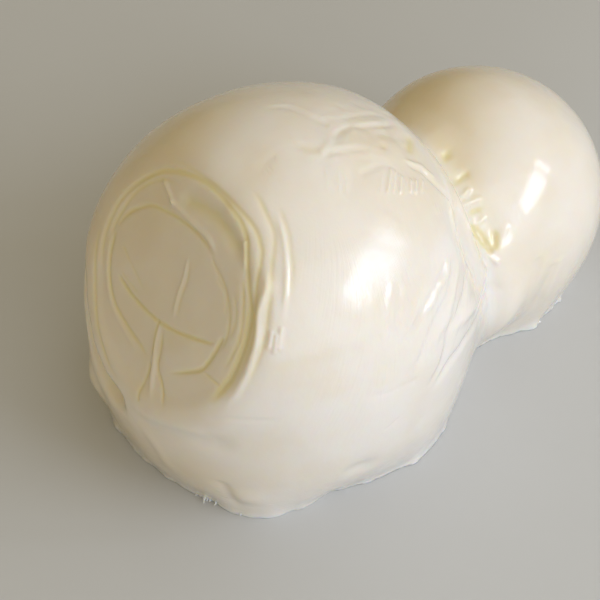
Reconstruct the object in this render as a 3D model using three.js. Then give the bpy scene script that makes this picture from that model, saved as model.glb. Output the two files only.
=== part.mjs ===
// A scamorza, a soft pulled-curd cheese: a round belly with one flat pressed end, a pinched neck and a
// smaller round head, all resting on one flat foot. Millimetres, +Z up, the head lies towards +X and the
// flat end towards -X.

import * as THREE from 'three';
import { mergeVertices } from 'three/addons/utils/BufferGeometryUtils.js';

// Belly, neck and head
const BELLY_RADIUS = 37;
const BELLY_HEIGHT = 33.5;
const SHOULDER_REACH = 41;
const HEAD_RADIUS = 26.4;
const HEAD_HEIGHT = 24;
const HEAD_ASIDE = 1.4;
const HEAD_DISTANCE = 53;
const NECK_AT = 35;
const NECK_BLEND = 4;
const BEND_START = 24;
const BEND_END = 45;

// Flat pressed end: its face leans back by END_LEAN and lies END_DEPTH from the middle of the belly
const END_LEAN = THREE.MathUtils.degToRad(28.5);
const END_DEPTH = 29;
const END_DOME = 0.1;
const END_ROUNDING = 3;
const END_CENTRE = [1.4, 1.2];
const END_EDGE = 22;
const LEAN_FADE_START = 35;
const LEAN_FADE_END = 90;

// Foot: the wall below the widest line closes in to the foot's outline like a bowl and ends in a thin lip
const BOWL_POWER = 2.6;
const HEAD_BOWL_POWER = 1.7;
const BOWL_CHANGE_START = 10;
const BOWL_CHANGE_END = 40;
const WALL_SHARE = 5 / 7;
const EDGE_SNAP = 0.024;
const WALL_CROWDING = 1.4;
const LIP = 0.9;
const LIP_HEIGHT = 1.8;
const RELIEF_LOW = 0.5;
const RELIEF_FULL = 4;

// Reach of the foot from the middle line, at stations on the way round it: 0 is under the flat end,
// 1 beside the belly's front, 2 beside the head's front, 3 the head's tip, 4 and 5 the same on the back
const FOOT_REACH = [
  [0.00, 30.8], [0.22, 29.8], [0.50, 31.2], [0.66, 29.0], [0.84, 26.8], [1.06, 29.2], [1.22, 30.4],
  [1.37, 28.6], [1.50, 24.8], [1.62, 19.4], [1.76, 16.0], [1.90, 17.8], [2.08, 20.2], [2.40, 21.4],
  [2.64, 22.2], [3.00, 22.0], [3.50, 21.6], [4.00, 19.8], [4.26, 17.4], [4.58, 25.6], [4.85, 29.8],
  [5.15, 31.4], [5.50, 33.6], [5.68, 34.4], [5.86, 32.0],
];

// Rings pressed into and round the flat end: radius from its middle, depth, width and the clock range in
// degrees over which each shows, counted from the front side upwards. A minus depth is a raised fold.
const END_RINGS = [
  { radius: 21.3, depth: 0.5, width: 1.3, middle: 0, span: 400 },
  { radius: 21.3, depth: 0.6, width: 1.3, middle: 0, span: 170 },
  { radius: 23.0, depth: -0.7, width: 1.1, middle: 20, span: 85 },
  { radius: 24.6, depth: 0.7, width: 0.9, middle: 50, span: 80 },
  { radius: 25.9, depth: -0.6, width: 0.9, middle: 30, span: 55 },
  { radius: 27.4, depth: 0.6, width: 0.9, middle: 42, span: 50 },
  { radius: 29.4, depth: 0.4, width: 0.9, middle: 40, span: 32 },
];
const RING_FADE = 15;
const END_OVAL = { long: 16.3, wide: 13.7, turn: -24, middle: [0.2, 0.7], depth: 0.7, width: 1.1 };

// Creases across the flat end, in its own plane: to the front, upwards
const END_CREASES = [
  { points: [[-13.1, -4.4], [-2.8, -5.6], [8.5, -3.2], [15, -0.4]], depth: 0.8, width: 0.9 },
  { points: [[0.4, -6.4], [1.6, -13.6], [3.6, -20.4]], depth: 0.6, width: 0.9 },
  { points: [[0.9, -6.4], [3.2, -12.4], [5.7, -19]], depth: -0.8, width: 1.1 },
  { points: [[2.1, -7], [4.6, -13], [9.7, -18.2]], depth: 0.6, width: 0.9 },
  { points: [[-14.8, 2.1], [-10.5, -0.1], [-5.1, -3]], depth: 0.35, width: 0.9 },
  { points: [[-10.8, 17.4], [-6.4, 14.4]], depth: -0.4, width: 0.9 },
  { points: [[-5.8, 16.9], [0.8, 14.2], [7.2, 12.6]], depth: -0.5, width: 1.0 },
];

// Folds and dents over the belly, as bearing and height angle in degrees from the belly's middle
const BELLY_CREASES = [
  { points: [[150, -17], [165, -20], [180, -17], [192, -12], [208, -2], [230, 5]], depth: 0.8, width: 1.8 },
  { points: [[-118, 8], [-105, 7], [-88, 3]], depth: 0.4, width: 2.0 },
  { points: [[-66, 76], [-47, 69], [-36, 62]], depth: 0.8, width: 1.6 },
  { points: [[-33, 75], [-20, 67], [-5, 47]], depth: 0.6, width: 1.5 },
  { points: [[-14, 76], [-10, 66], [0, 52]], depth: 0.4, width: 1.5 },
  { points: [[-62, 63], [-46, 58]], depth: 0.7, width: 1.6 },
  { points: [[-33, 60], [-24, 50]], depth: 0.9, width: 2.2 },
  { points: [[-30, 47], [-30, 38], [-31, 29]], depth: -0.9, width: 1.5 },
  { points: [[-52, 30], [-66, 27], [-77, 24]], depth: -0.7, width: 1.6 },
  { points: [[-72, 25], [-84, 21], [-95, 16]], depth: 0.7, width: 1.6 },
  { points: [[-41, 20], [-50, 16], [-66, 10]], depth: 0.8, width: 1.6 },
  { points: [[-38, 2], [-52, 0], [-68, 0], [-84, -3], [-92, -8]], depth: 1.0, width: 2.0 },
  { points: [[-34, -26], [-52, -18], [-70, -14]], depth: -0.8, width: 2.2 },
];

// Puckers where the neck is pinched: short ridges along the body, evenly set round the front of the neck
const PUCKERS = 7;
const PUCKER_FIRST = -14;
const PUCKER_STEP = -12;
const PUCKER_LENGTH = 5;
const PUCKER_MIDDLE = 36.5;
const PUCKER_HEIGHT = 0.9;
const PUCKER_WIDTH = 1.3;

// Fineness of the solid's faces
const AROUND = 84;
const END_STEPS = 22;
const END_ANGLE = 48;
const FLANK_STEPS = 9;
const SHOULDER_STEPS = 12;
const HEAD_STEPS = 18;

const CURD_COLOUR = 0xe3d8c4;
const CURD_ROUGHNESS = 0.35;

const BELLY_MIDDLE = new THREE.Vector3(0, 0, BELLY_HEIGHT);
const END_NORMAL = new THREE.Vector3(-Math.cos(END_LEAN), 0, Math.sin(END_LEAN));
const END_FRONT = new THREE.Vector3(0, -1, 0);
const END_UP = new THREE.Vector3(Math.sin(END_LEAN), 0, Math.cos(END_LEAN));

function ease(from, to, value) {
  return THREE.MathUtils.smoothstep(value, from, to);
}

function softMax(a, b, blend) {
  const near = Math.max(blend - Math.abs(a - b), 0) / blend;
  return Math.max(a, b) + near * near * blend * 0.25;
}

function softMin(a, b, blend) {
  return -softMax(-a, -b, blend);
}

function bell(distance, width) {
  return Math.exp(-((distance / width) ** 2));
}

// Half width of the body at a place along it: the belly's oval and the head's circle, softly joined
function bodyRadius(along) {
  const half = along < 0 ? BELLY_RADIUS : SHOULDER_REACH;
  const belly = BELLY_RADIUS * Math.sqrt(Math.max(1 - (along / half) ** 2, 0));
  const head = Math.sqrt(Math.max(HEAD_RADIUS ** 2 - (along - HEAD_DISTANCE) ** 2, 0));
  const between = along > 0 && along < HEAD_DISTANCE;
  return between ? softMax(belly, head, NECK_BLEND) : Math.max(belly, head);
}

// Places along the body, from the middle of the flat end to the tip of the head
function placesAlong() {
  const places = [];
  for (let i = 0; i < END_STEPS; i += 1) {
    places.push(-BELLY_RADIUS * Math.cos(THREE.MathUtils.degToRad((END_ANGLE * i) / END_STEPS)));
  }
  for (let i = 0; i < FLANK_STEPS; i += 1) {
    const angle = END_ANGLE + ((90 - END_ANGLE) * i) / FLANK_STEPS;
    places.push(-BELLY_RADIUS * Math.cos(THREE.MathUtils.degToRad(angle)));
  }
  const neckAngle = Math.asin(NECK_AT / SHOULDER_REACH);
  for (let i = 0; i < SHOULDER_STEPS; i += 1) {
    places.push(SHOULDER_REACH * Math.sin((neckAngle * i) / SHOULDER_STEPS));
  }
  const headAngle = Math.acos((HEAD_DISTANCE - NECK_AT) / HEAD_RADIUS);
  for (let i = 0; i <= HEAD_STEPS; i += 1) {
    const angle = headAngle + ((Math.PI - headAngle) * i) / HEAD_STEPS;
    places.push(HEAD_DISTANCE - HEAD_RADIUS * Math.cos(angle));
  }
  return places;
}

// Smooth curve through the foot's stations, closed on itself
function footReach(way) {
  const count = FOOT_REACH.length;
  let i = count - 1;
  while (i > 0 && FOOT_REACH[i][0] > way) {
    i -= 1;
  }
  const reachAt = (k) => FOOT_REACH[(k + count) % count][1];
  const start = FOOT_REACH[i][0];
  const end = i + 1 < count ? FOOT_REACH[i + 1][0] : 6;
  const t = (way - start) / (end - start);
  const rise = (reachAt(i + 1) - reachAt(i - 1)) / 2;
  const fall = (reachAt(i + 2) - reachAt(i)) / 2;
  return (2 * t ** 3 - 3 * t ** 2 + 1) * reachAt(i) + (t ** 3 - 2 * t ** 2 + t) * rise
    + (3 * t ** 2 - 2 * t ** 3) * reachAt(i + 1) + (t ** 3 - t ** 2) * fall;
}

// Where a direction points on the way round the foot
function wayRound(along, out, aside) {
  const turn = THREE.MathUtils.radToDeg(Math.atan2(aside, out));
  if (along < 0) {
    return turn <= 0 ? (180 + turn) / 90 : 5 + (turn - 90) / 90;
  }
  if (along > HEAD_DISTANCE) {
    return 2 + (turn + 90) / 90;
  }
  const share = along / HEAD_DISTANCE;
  return aside <= 0 ? 1 + share : 5 - share;
}

// A point of the turned body is moved to the cheese's own form
function shapePoint(raw) {
  const point = raw.clone();
  // the turned body's rings lean with the flat end and stand upright from the middle of the belly on
  if (point.x < 0) {
    const polar = Math.acos(THREE.MathUtils.clamp(-point.x / BELLY_RADIUS, -1, 1));
    const lean = END_LEAN * (1 - ease(LEAN_FADE_START, LEAN_FADE_END, THREE.MathUtils.radToDeg(polar)));
    point.applyAxisAngle(new THREE.Vector3(0, 1, 0), lean);
  }
  const along = point.x;
  const bend = ease(BEND_START, BEND_END, along);
  const height = BELLY_HEIGHT + (HEAD_HEIGHT - BELLY_HEIGHT) * bend;
  const aside = HEAD_ASIDE * bend;
  if (point.z >= 0) {
    point.z += height;
  } else {
    const spine = THREE.MathUtils.clamp(along, 0, HEAD_DISTANCE);
    const ball = bodyRadius(spine);
    const out = along - spine;
    const far = Math.hypot(out, point.y);
    const reach = footReach(wayRound(along, out, point.y) % 6);
    const sunk = Math.asin(THREE.MathUtils.clamp(-point.z / ball, 0, 1)) / (Math.PI / 2);
    const dip = Math.abs(sunk - WALL_SHARE) < EDGE_SNAP ? WALL_SHARE : sunk;
    const down = Math.min(dip / WALL_SHARE, 1);
    const z = height * (1 - down) ** WALL_CROWDING;
    const headward = ease(BOWL_CHANGE_START, BOWL_CHANGE_END, along);
    const power = BOWL_POWER + (HEAD_BOWL_POWER - BOWL_POWER) * headward;
    const bowl = 1 - (1 - z / height) ** power;
    const flare = LIP * (Math.exp(-z / LIP_HEIGHT) - 1 + bowl);
    const wall = reach + (ball - reach) * bowl + flare;
    const share = Math.min((1 - dip) / (1 - WALL_SHARE), 1);
    const distance = down < 1 ? wall : reach * share;
    point.set(spine, 0, z);
    if (far > 1e-6) {
      point.x += (out / far) * distance;
      point.y += (raw.y / far) * distance;
    }
  }
  point.y += aside;
  // press the end flat, with a rounded rim and a slight dome
  const proud = point.clone().sub(BELLY_MIDDLE).dot(END_NORMAL);
  const pressed = softMin(proud, END_DEPTH + END_DOME * (proud - END_DEPTH), END_ROUNDING);
  return point.addScaledVector(END_NORMAL, pressed - proud);
}

// Distance from a point to a smooth line through control points, and how far along the line that is
function nearestOn(line, point) {
  let best = { distance: Infinity, share: 0 };
  const span = new THREE.Line3();
  const foot = new THREE.Vector3();
  for (let i = 0; i + 1 < line.length; i += 1) {
    span.set(line[i], line[i + 1]);
    const t = span.closestPointToPointParameter(point, true);
    const distance = span.at(t, foot).distanceTo(point);
    if (distance < best.distance) {
      best = { distance, share: (i + t) / (line.length - 1) };
    }
  }
  return best;
}

function smoothLine(points) {
  return new THREE.CatmullRomCurve3(points).getPoints(6 * (points.length - 1));
}

function endPoint([front, up]) {
  return new THREE.Vector3(front, up, 0);
}

function bellyPoint([bearing, rise]) {
  const turn = THREE.MathUtils.degToRad(bearing);
  const lift = THREE.MathUtils.degToRad(rise);
  const flat = Math.cos(lift) * BELLY_RADIUS;
  return new THREE.Vector3(flat * Math.cos(turn), flat * Math.sin(turn), BELLY_RADIUS * Math.sin(lift));
}

function withLines(creases, place) {
  return creases.map((crease) => ({ ...crease, line: smoothLine(crease.points.map(place)) }));
}

const endLines = withLines(END_CREASES, endPoint);
const bellyLines = withLines(BELLY_CREASES, bellyPoint);

function alongCrease(lines, point) {
  let depth = 0;
  for (const crease of lines) {
    const near = nearestOn(crease.line, point);
    const taper = Math.sin(Math.PI * THREE.MathUtils.clamp(near.share, 0.06, 0.94)) ** 0.5;
    depth += crease.depth * taper * bell(near.distance, crease.width);
  }
  return depth;
}

// Depth pressed into the flat end and the folds round it
function endRelief(fromMiddle) {
  const front = fromMiddle.dot(END_FRONT);
  const up = fromMiddle.dot(END_UP);
  const proud = fromMiddle.dot(END_NORMAL);
  if (proud <= 0) {
    return 0;
  }
  const ringFront = front - END_CENTRE[0];
  const ringUp = up - END_CENTRE[1];
  const radius = Math.hypot(ringFront, ringUp);
  const clock = THREE.MathUtils.radToDeg(Math.atan2(ringUp, ringFront));
  let depth = 0;
  for (const ring of END_RINGS) {
    const away = Math.abs(THREE.MathUtils.euclideanModulo(clock - ring.middle + 180, 360) - 180);
    const shown = 1 - ease(ring.span / 2 - RING_FADE, ring.span / 2 + RING_FADE, away);
    depth += ring.depth * shown * bell(radius - ring.radius, ring.width);
  }
  const turn = THREE.MathUtils.degToRad(END_OVAL.turn);
  const ovalFront = front - END_OVAL.middle[0];
  const ovalUp = up - END_OVAL.middle[1];
  const long = ovalFront * Math.cos(turn) + ovalUp * Math.sin(turn);
  const wide = ovalUp * Math.cos(turn) - ovalFront * Math.sin(turn);
  const oval = Math.hypot(long / END_OVAL.long, wide / END_OVAL.wide);
  depth += END_OVAL.depth * bell((oval - 1) * END_OVAL.wide, END_OVAL.width);
  if (radius < END_EDGE) {
    depth += alongCrease(endLines, new THREE.Vector3(front, up, 0));
  }
  return depth;
}

function neckRelief(point) {
  const height = HEAD_HEIGHT + (BELLY_HEIGHT - HEAD_HEIGHT) / 2;
  const turn = THREE.MathUtils.radToDeg(Math.atan2(point.y, point.z - height));
  let rise = 0;
  for (let i = 0; i < PUCKERS; i += 1) {
    const off = turn - (PUCKER_FIRST + PUCKER_STEP * i);
    const across = THREE.MathUtils.degToRad(off) * bodyRadius(NECK_AT);
    rise += PUCKER_HEIGHT * bell(across, PUCKER_WIDTH);
  }
  return -rise * bell(point.x - PUCKER_MIDDLE, PUCKER_LENGTH);
}

function reliefDepth(point) {
  const fromMiddle = point.clone().sub(BELLY_MIDDLE);
  const onBelly = fromMiddle.clone().setLength(BELLY_RADIUS);
  const depth = endRelief(fromMiddle) + alongCrease(bellyLines, onBelly) + neckRelief(point);
  return depth * ease(RELIEF_LOW, RELIEF_FULL, point.z);
}

// Drops the faces that shrink to nothing at the two poles
function withoutEmptyFaces(geometry) {
  const index = geometry.getIndex().array;
  const kept = [];
  for (let i = 0; i < index.length; i += 3) {
    const [a, b, c] = [index[i], index[i + 1], index[i + 2]];
    if (a !== b && b !== c && c !== a) {
      kept.push(a, b, c);
    }
  }
  geometry.setIndex(kept);
  return geometry;
}

function cheeseGeometry() {
  const profile = placesAlong().map((along) => new THREE.Vector2(bodyRadius(along), along));
  profile[0].x = 0;
  profile[profile.length - 1].x = 0;
  const turned = new THREE.LatheGeometry(profile, AROUND);
  turned.deleteAttribute('uv');
  turned.deleteAttribute('normal');
  const place = turned.getAttribute('position');
  const raw = new THREE.Vector3();
  for (let i = 0; i < place.count; i += 1) {
    raw.set(place.getY(i), -place.getX(i), place.getZ(i));
    const point = shapePoint(raw);
    place.setXYZ(i, point.x, point.y, point.z);
  }
  const whole = withoutEmptyFaces(mergeVertices(turned, 1e-3));
  whole.computeVertexNormals();
  const spot = whole.getAttribute('position');
  const normal = whole.getAttribute('normal');
  const point = new THREE.Vector3();
  const outward = new THREE.Vector3();
  const moved = [];
  for (let i = 0; i < spot.count; i += 1) {
    point.fromBufferAttribute(spot, i);
    outward.fromBufferAttribute(normal, i);
    moved.push(point.clone().addScaledVector(outward, -reliefDepth(point)));
  }
  moved.forEach((to, i) => spot.setXYZ(i, to.x, to.y, Math.max(to.z, 0)));
  whole.computeBoundingBox();
  const middle = whole.boundingBox.getCenter(new THREE.Vector3());
  whole.translate(-middle.x, -middle.y, -whole.boundingBox.min.z);
  whole.computeVertexNormals();
  return whole;
}

const group = new THREE.Group();
group.name = 'scamorza_part';

const curd = new THREE.MeshStandardMaterial({
  color: CURD_COLOUR,
  roughness: CURD_ROUGHNESS,
  metalness: 0,
});
const cheese = new THREE.Mesh(cheeseGeometry(), curd);
cheese.name = 'scamorza';
group.add(cheese);

export default group;
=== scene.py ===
"""A scamorza dressed for its photograph: the folded skin of the cheese, the torn nibs along its foot, and a
plain stage. Sizes in the code are millimetres until a mesh is written, which is in metres."""

import math

import bpy
import numpy as np
from bpy.props import FloatProperty, FloatVectorProperty, IntProperty, PointerProperty
from mathutils import Matrix, Quaternion, Vector


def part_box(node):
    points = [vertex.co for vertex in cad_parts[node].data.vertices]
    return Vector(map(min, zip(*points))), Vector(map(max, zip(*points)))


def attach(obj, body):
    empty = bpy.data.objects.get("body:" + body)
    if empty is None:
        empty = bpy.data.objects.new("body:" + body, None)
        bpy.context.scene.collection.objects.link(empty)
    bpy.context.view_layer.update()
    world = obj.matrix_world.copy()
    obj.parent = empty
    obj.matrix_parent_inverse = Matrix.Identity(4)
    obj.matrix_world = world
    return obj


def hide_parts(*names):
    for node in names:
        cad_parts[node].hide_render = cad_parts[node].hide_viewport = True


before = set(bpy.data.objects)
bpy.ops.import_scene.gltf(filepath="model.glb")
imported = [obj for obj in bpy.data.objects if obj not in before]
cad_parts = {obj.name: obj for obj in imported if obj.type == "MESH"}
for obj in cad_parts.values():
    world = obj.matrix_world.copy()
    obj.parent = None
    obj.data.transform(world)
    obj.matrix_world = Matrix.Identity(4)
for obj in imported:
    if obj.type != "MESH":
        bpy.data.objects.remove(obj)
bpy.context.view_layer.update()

bl_info = {
    "name": "Scamorza",
    "version": (1, 0, 0),
    "blender": (4, 5, 0),
    "location": "3D View > Sidebar > Scamorza",
    "description": "Builds a whole scamorza with its folds, its torn foot and a plain stage",
    "category": "Object",
}

MM = 0.001
NODE = "scamorza"
BODY = "root"

# Form that stays as it is when the sizes in the panel change
NECK_BLEND = 4
BEND_START, BEND_END = 24, 45
LEAN_FADE_START, LEAN_FADE_END = 35, 90
END_DOME, END_ROUNDING = 0.1, 3
BOWL_POWER, HEAD_BOWL_POWER = 2.6, 1.7
BOWL_CHANGE_START, BOWL_CHANGE_END = 10, 40
WALL_SHARE = 5 / 7
WALL_CROWDING = 1.4
LIP_HEIGHT = 2.4
FOOT_ROUNDING = 0.45
# Heights between which the strokes set in above the floor, and the height in metres where the finer folds do
RELIEF_LOW, RELIEF_FULL = 0.3, 2.8
FOOT_CLEARANCE = 0.0008
# The web that fills the pinch between belly and head in front: how full, where along and up, and how wide each way
WEB_FILL = 5.0
WEB_ALONG, WEB_HEIGHT = (37, 6.5), (18, 13)
WEB_FRONT = (4, 14)

# Reach of the foot from the middle line on the way round it: 0 under the flat end, 1 beside the belly's
# front, 2 beside the head's front, 3 the head's tip, 4 and 5 the same on the back
FOOT_REACH = np.array([
    (0.00, 30.8), (0.22, 29.8), (0.50, 31.2), (0.66, 29.0), (0.84, 26.8), (1.06, 29.2), (1.22, 30.4),
    (1.37, 28.3), (1.50, 23.9), (1.60, 19.5), (1.70, 17.2), (1.81, 17.2), (1.91, 19.2), (2.03, 20.8),
    (2.12, 20.2), (2.40, 21.4), (2.64, 22.2), (3.00, 22.0), (3.50, 21.6), (4.00, 19.8), (4.26, 17.4),
    (4.58, 25.6), (4.85, 29.8), (5.15, 31.4), (5.50, 33.6), (5.68, 34.4), (5.86, 32.0),
])
# Waves of the lip: how many go round the foot, and how high each is as a share of the waviness
LIP_WAVES = ((23, 0.9), (37, 1.0), (58, 0.7), (91, 0.4))
# How much higher the waves are beside the head's tip, where on the way round that is, and how far it spreads
RAGGED_SIDE, RAGGED_SIDE_AT, RAGGED_SIDE_SPREAD = 1.5, 2.55, 0.6

# Where the torn nibs sit: how far in from the foot's edge, how high, and how thick, where and how wide they crowd
NIB_INSET, NIB_HEIGHT = 0.3, 0.75
NIB_STEP = 0.01
NIB_CROWDS = ((0.9, 0.265, 0.03), (0.9, 0.42, 0.013), (0.05, 2.6, 0.5))
# A nib's length and roughness in radii
NIB_LENGTH, NIB_ROUGHNESS = 3.4, 1.6
# The way round the foot as bearings, and as shares of the way from the belly to the head
FOOT_WAYS = (0, 1, 2, 4, 5, 6)
FOOT_BEARINGS = (-180, -90, -90, 90, 90, 180)
FOOT_SPINE = np.array([0, 0, 1, 1, 0, 0])

# Longest edges of the mesh: at the back, at the front and on the head, where the skin is folded, along the lip
# and underneath. Near a stroke, it is a share of the stroke's width between two limits.
EDGE_BACK, EDGE_FRONT, EDGE_FOLDED, EDGE_LIP, EDGE_UNDER = 2.4, 1.8, 0.85, 1.2, 4.5
EDGE_STROKE, EDGE_STROKE_LIMITS = 0.66, (0.28, 0.9)
STROKE_CORE, STROKE_CORE_MARGIN = 1.35, 0.1
LIP_TOP, LIP_FOOT, UNDERSIDE = 4, 0.02, 0.01
SPLIT_ROUNDS = 7
# How close to the foot's edge a point is moved onto it
EDGE_SNAP = 0.004

# Places along the cheese: where the belly ends, where its strokes end, and where the head's even mesh starts
BELLY_ALONG, NECK_ALONG, HEAD_ALONG = 34, 40, 46
# How far out from the belly's middle the flat end's strokes and its plate start, and how far its fine mesh reaches
END_PROUD, PLATE_PROUD = 8, 20
PLATE_FINE = 29
# How far from its line a stroke is worked out: so many widths, and a little more
STROKE_REACH, STROKE_MARGIN = 3, 0.6
# Depth at which a tinted groove has its full colour; the tint is yellowed lines, and painted shade in the deeper
# folds
FULL_GROOVE = 0.16

# Strokes pressed into the flat end, in its own plane: depth, width, then points to the front and upwards, and
# for some how far their grooves are tinted: yellowed lines, and painted shade in the yellow band. A minus depth is a
# raised fold.
END_STROKES = {
    "ring": (0.20, 0.50, [(-20.2, 1.8), (-18.5, 7.7), (-16.1, 12.1), (-13.9, 15.6), (-10.8, 18.7), (-6.3, 21),
                          (-1.9, 22.2), (2.3, 22.3), (6.4, 21.7), (9.4, 20.9), (12.1, 19.1), (14.3, 16), (16.6, 13),
                          (19.3, 9), (20.8, 4.2), (21.2, 0.1), (21.1, -3.5), (20.3, -6.6), (19.3, -10.1)]),
    "ring deepens": (0.30, 0.80, [(17.2, 12.6), (19.3, 9), (20.8, 4.2), (21.2, 0.1), (21.1, -3.5), (20.3, -6.6),
                                  (18.9, -10.9)]),
    "ring outer": (0.14, 0.45, [(-13.2, 19.9), (-8.9, 21.6), (-3.5, 22.5), (1.2, 22.9), (6.7, 22.5), (11.6, 21.5),
                                (14.6, 19.6), (16.1, 17.7), (17.8, 14), (19.7, 10.2), (21.1, 7.2), (21.9, 4.8),
                                (22.2, 2), (22.2, -1.1), (21.9, -3.9), (21, -8.2)]),
    "ring inner": (0.13, 0.42, [(14.6, 13.7), (15.9, 11.7), (17.2, 9.6), (18.6, 6.7), (19.2, 4.8), (19.6, 3.1),
                                (19.5, 1), (19.4, -1), (18.9, -4.4)]),
    "roll": (-0.44, 0.72, [(17.2, 18.2), (18.3, 16.2), (19.6, 14.1), (20.4, 10.1), (21.6, 7.5), (22.5, 5.3),
                           (23.1, 2.5), (23.4, -1.3), (22.6, -6.5), (21, -11)]),
    "short roll": (-0.26, 0.50, [(11.6, 19), (12, 18.4), (13.2, 16.8), (14.9, 14.2)]),
    "left ring": (0.14, 0.50, [(-20.2, 1.8), (-20, -1.5), (-18.9, -4.6), (-17.2, -7.9), (-14.8, -11.9),
                               (-12.5, -14.9), (-9.7, -17.8), (-5.9, -20.4), (-1.5, -21.7)]),
    "oval top": (0.16, 0.45, [(-16.4, 1.9), (-16.2, 4.5), (-14.9, 7.4), (-12.4, 10.2), (-10.1, 11.9),
                              (-6.4, 13), (-2.7, 13.7), (1.4, 13.9), (5.3, 13.4), (8, 11.9)]),
    "oval front": (0.11, 0.40, [(6.6, 12.8), (8, 11.8), (11.7, 10.1), (14, 8.2), (15.7, 5.9), (16.8, 3.2),
                                (16.9, 0.6), (16.3, -2.2)]),
    "oval back": (0.17, 0.45, [(-16.4, 3), (-16.3, 1.2), (-15.3, -2.6), (-13.2, -6.3), (-10, -9.2), (-4.9, -10.9),
                               (-0.5, -11.8), (3.4, -12.7)]),
    "oval back lip": (-0.12, 0.60, [(-17.2, 2.5), (-17, -0.7), (-15.2, -4.7), (-12.3, -8.6), (-8.9, -10.8),
                                    (-3.6, -12.6), (1, -13.8)]),
    "bow": (0.22, 0.42, [(-12, -3.6), (-10.7, -4.2), (-7.1, -5), (-2.8, -5.3), (1.6, -5.1), (5.4, -4.2),
                         (9.5, -2.8), (13.6, -1.1), (15.3, -0.2)]),
    "pouch": (0.24, 0.42, [(16.4, 2.4), (16.2, 1), (15.9, -1.6), (15.3, -4.7), (14.5, -6.5), (12.1, -8.7),
                           (8, -12)]),
    "pouch tail": (0.12, 0.38, [(14.9, -6.2), (18.1, -6.2), (19.8, -6.3)]),
    "pouch swell": (-0.25, 2.60, [(6, -8.6), (11, -5.4)], 0.0),
    # Painted shade on the slope inside the ring, turned away from the lights
    "yellow band": (0.50, 1.50, [(-6, 16.4), (-1.3, 18), (3.9, 18.7), (9.1, 17.8), (13.4, 15.5)], 0.22),
    "bright swell": (-0.22, 1.10, [(4, 21.2), (6.8, 20.9), (9.6, 20.3), (12, 19.2)]),
    "left arc": (0.12, 0.45, [(-16.9, -0.6), (-17.2, 4.1), (-16, 9.8), (-13.8, 13.9), (-10.4, 17.2), (-6, 19)]),
    "left arc outside": (0.12, 0.45, [(-15.4, -7), (-18.2, -1.5), (-18.7, 3.8), (-17.7, 9.3), (-15.4, 14),
                                      (-11.8, 18)]),
    "wave": (0.08, 0.42, [(9.3, 10.4), (13.3, 8.4), (15.2, 5)]),
    "wave beside": (0.08, 0.42, [(14.4, 10.4), (17.1, 6.4), (17.7, 2)]),
    "top nick": (-0.28, 0.50, [(-10.8, 17.4), (-7.7, 16), (-5.2, 14.7)]),
    "top lip": (-0.28, 0.55, [(-7.4, 15.7), (-5.8, 15.2), (-2.2, 15), (2.1, 14.9), (5, 14.6), (8, 13)]),
    "faint line": (0.07, 0.36, [(-14, 1.8), (-9.8, -0.2), (-4, -2.6)]),
    "faint line below": (0.06, 0.34, [(-12, -3), (-8.1, -3.5), (-5, -4.1)]),
    "middle pair": (-0.12, 0.40, [(2, 9.6), (3.1, 5.6), (3.5, 1.6), (4.5, -2.8)]),
    "middle pair groove": (0.07, 0.36, [(3, 9), (4.1, 5.6), (4.5, 1.6), (5.4, -2.4)]),
    "tongue": (-0.30, 0.60, [(1.6, -4.4), (2.7, -8.7), (4.2, -12.2), (5.1, -15.5), (6.6, -19.4)]),
    "tongue top": (0.14, 0.42, [(1.2, -5), (1.6, -5.6), (2.5, -8.9), (3.3, -12)]),
    "tongue back": (0.15, 0.42, [(3.2, -12.2), (3.8, -14.9), (3.6, -19.9), (4.4, -21.4)]),
    "tongue front": (0.15, 0.42, [(3, -5.2), (4.7, -9.1), (5.4, -12.4), (8.2, -15.2), (10.6, -19.4)]),
}
# A stroke shorter than this many widths is a dent, which keeps its depth to both ends
DENT_LENGTH = 3
# The flat end's plate: how far it is sunk, from where to where its edge falls, and its middle
PLATE_SINK = 0.4
PLATE_EDGE = (18.4, 21.6)
PLATE_MIDDLE = np.array([1.4, 1.2])

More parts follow.
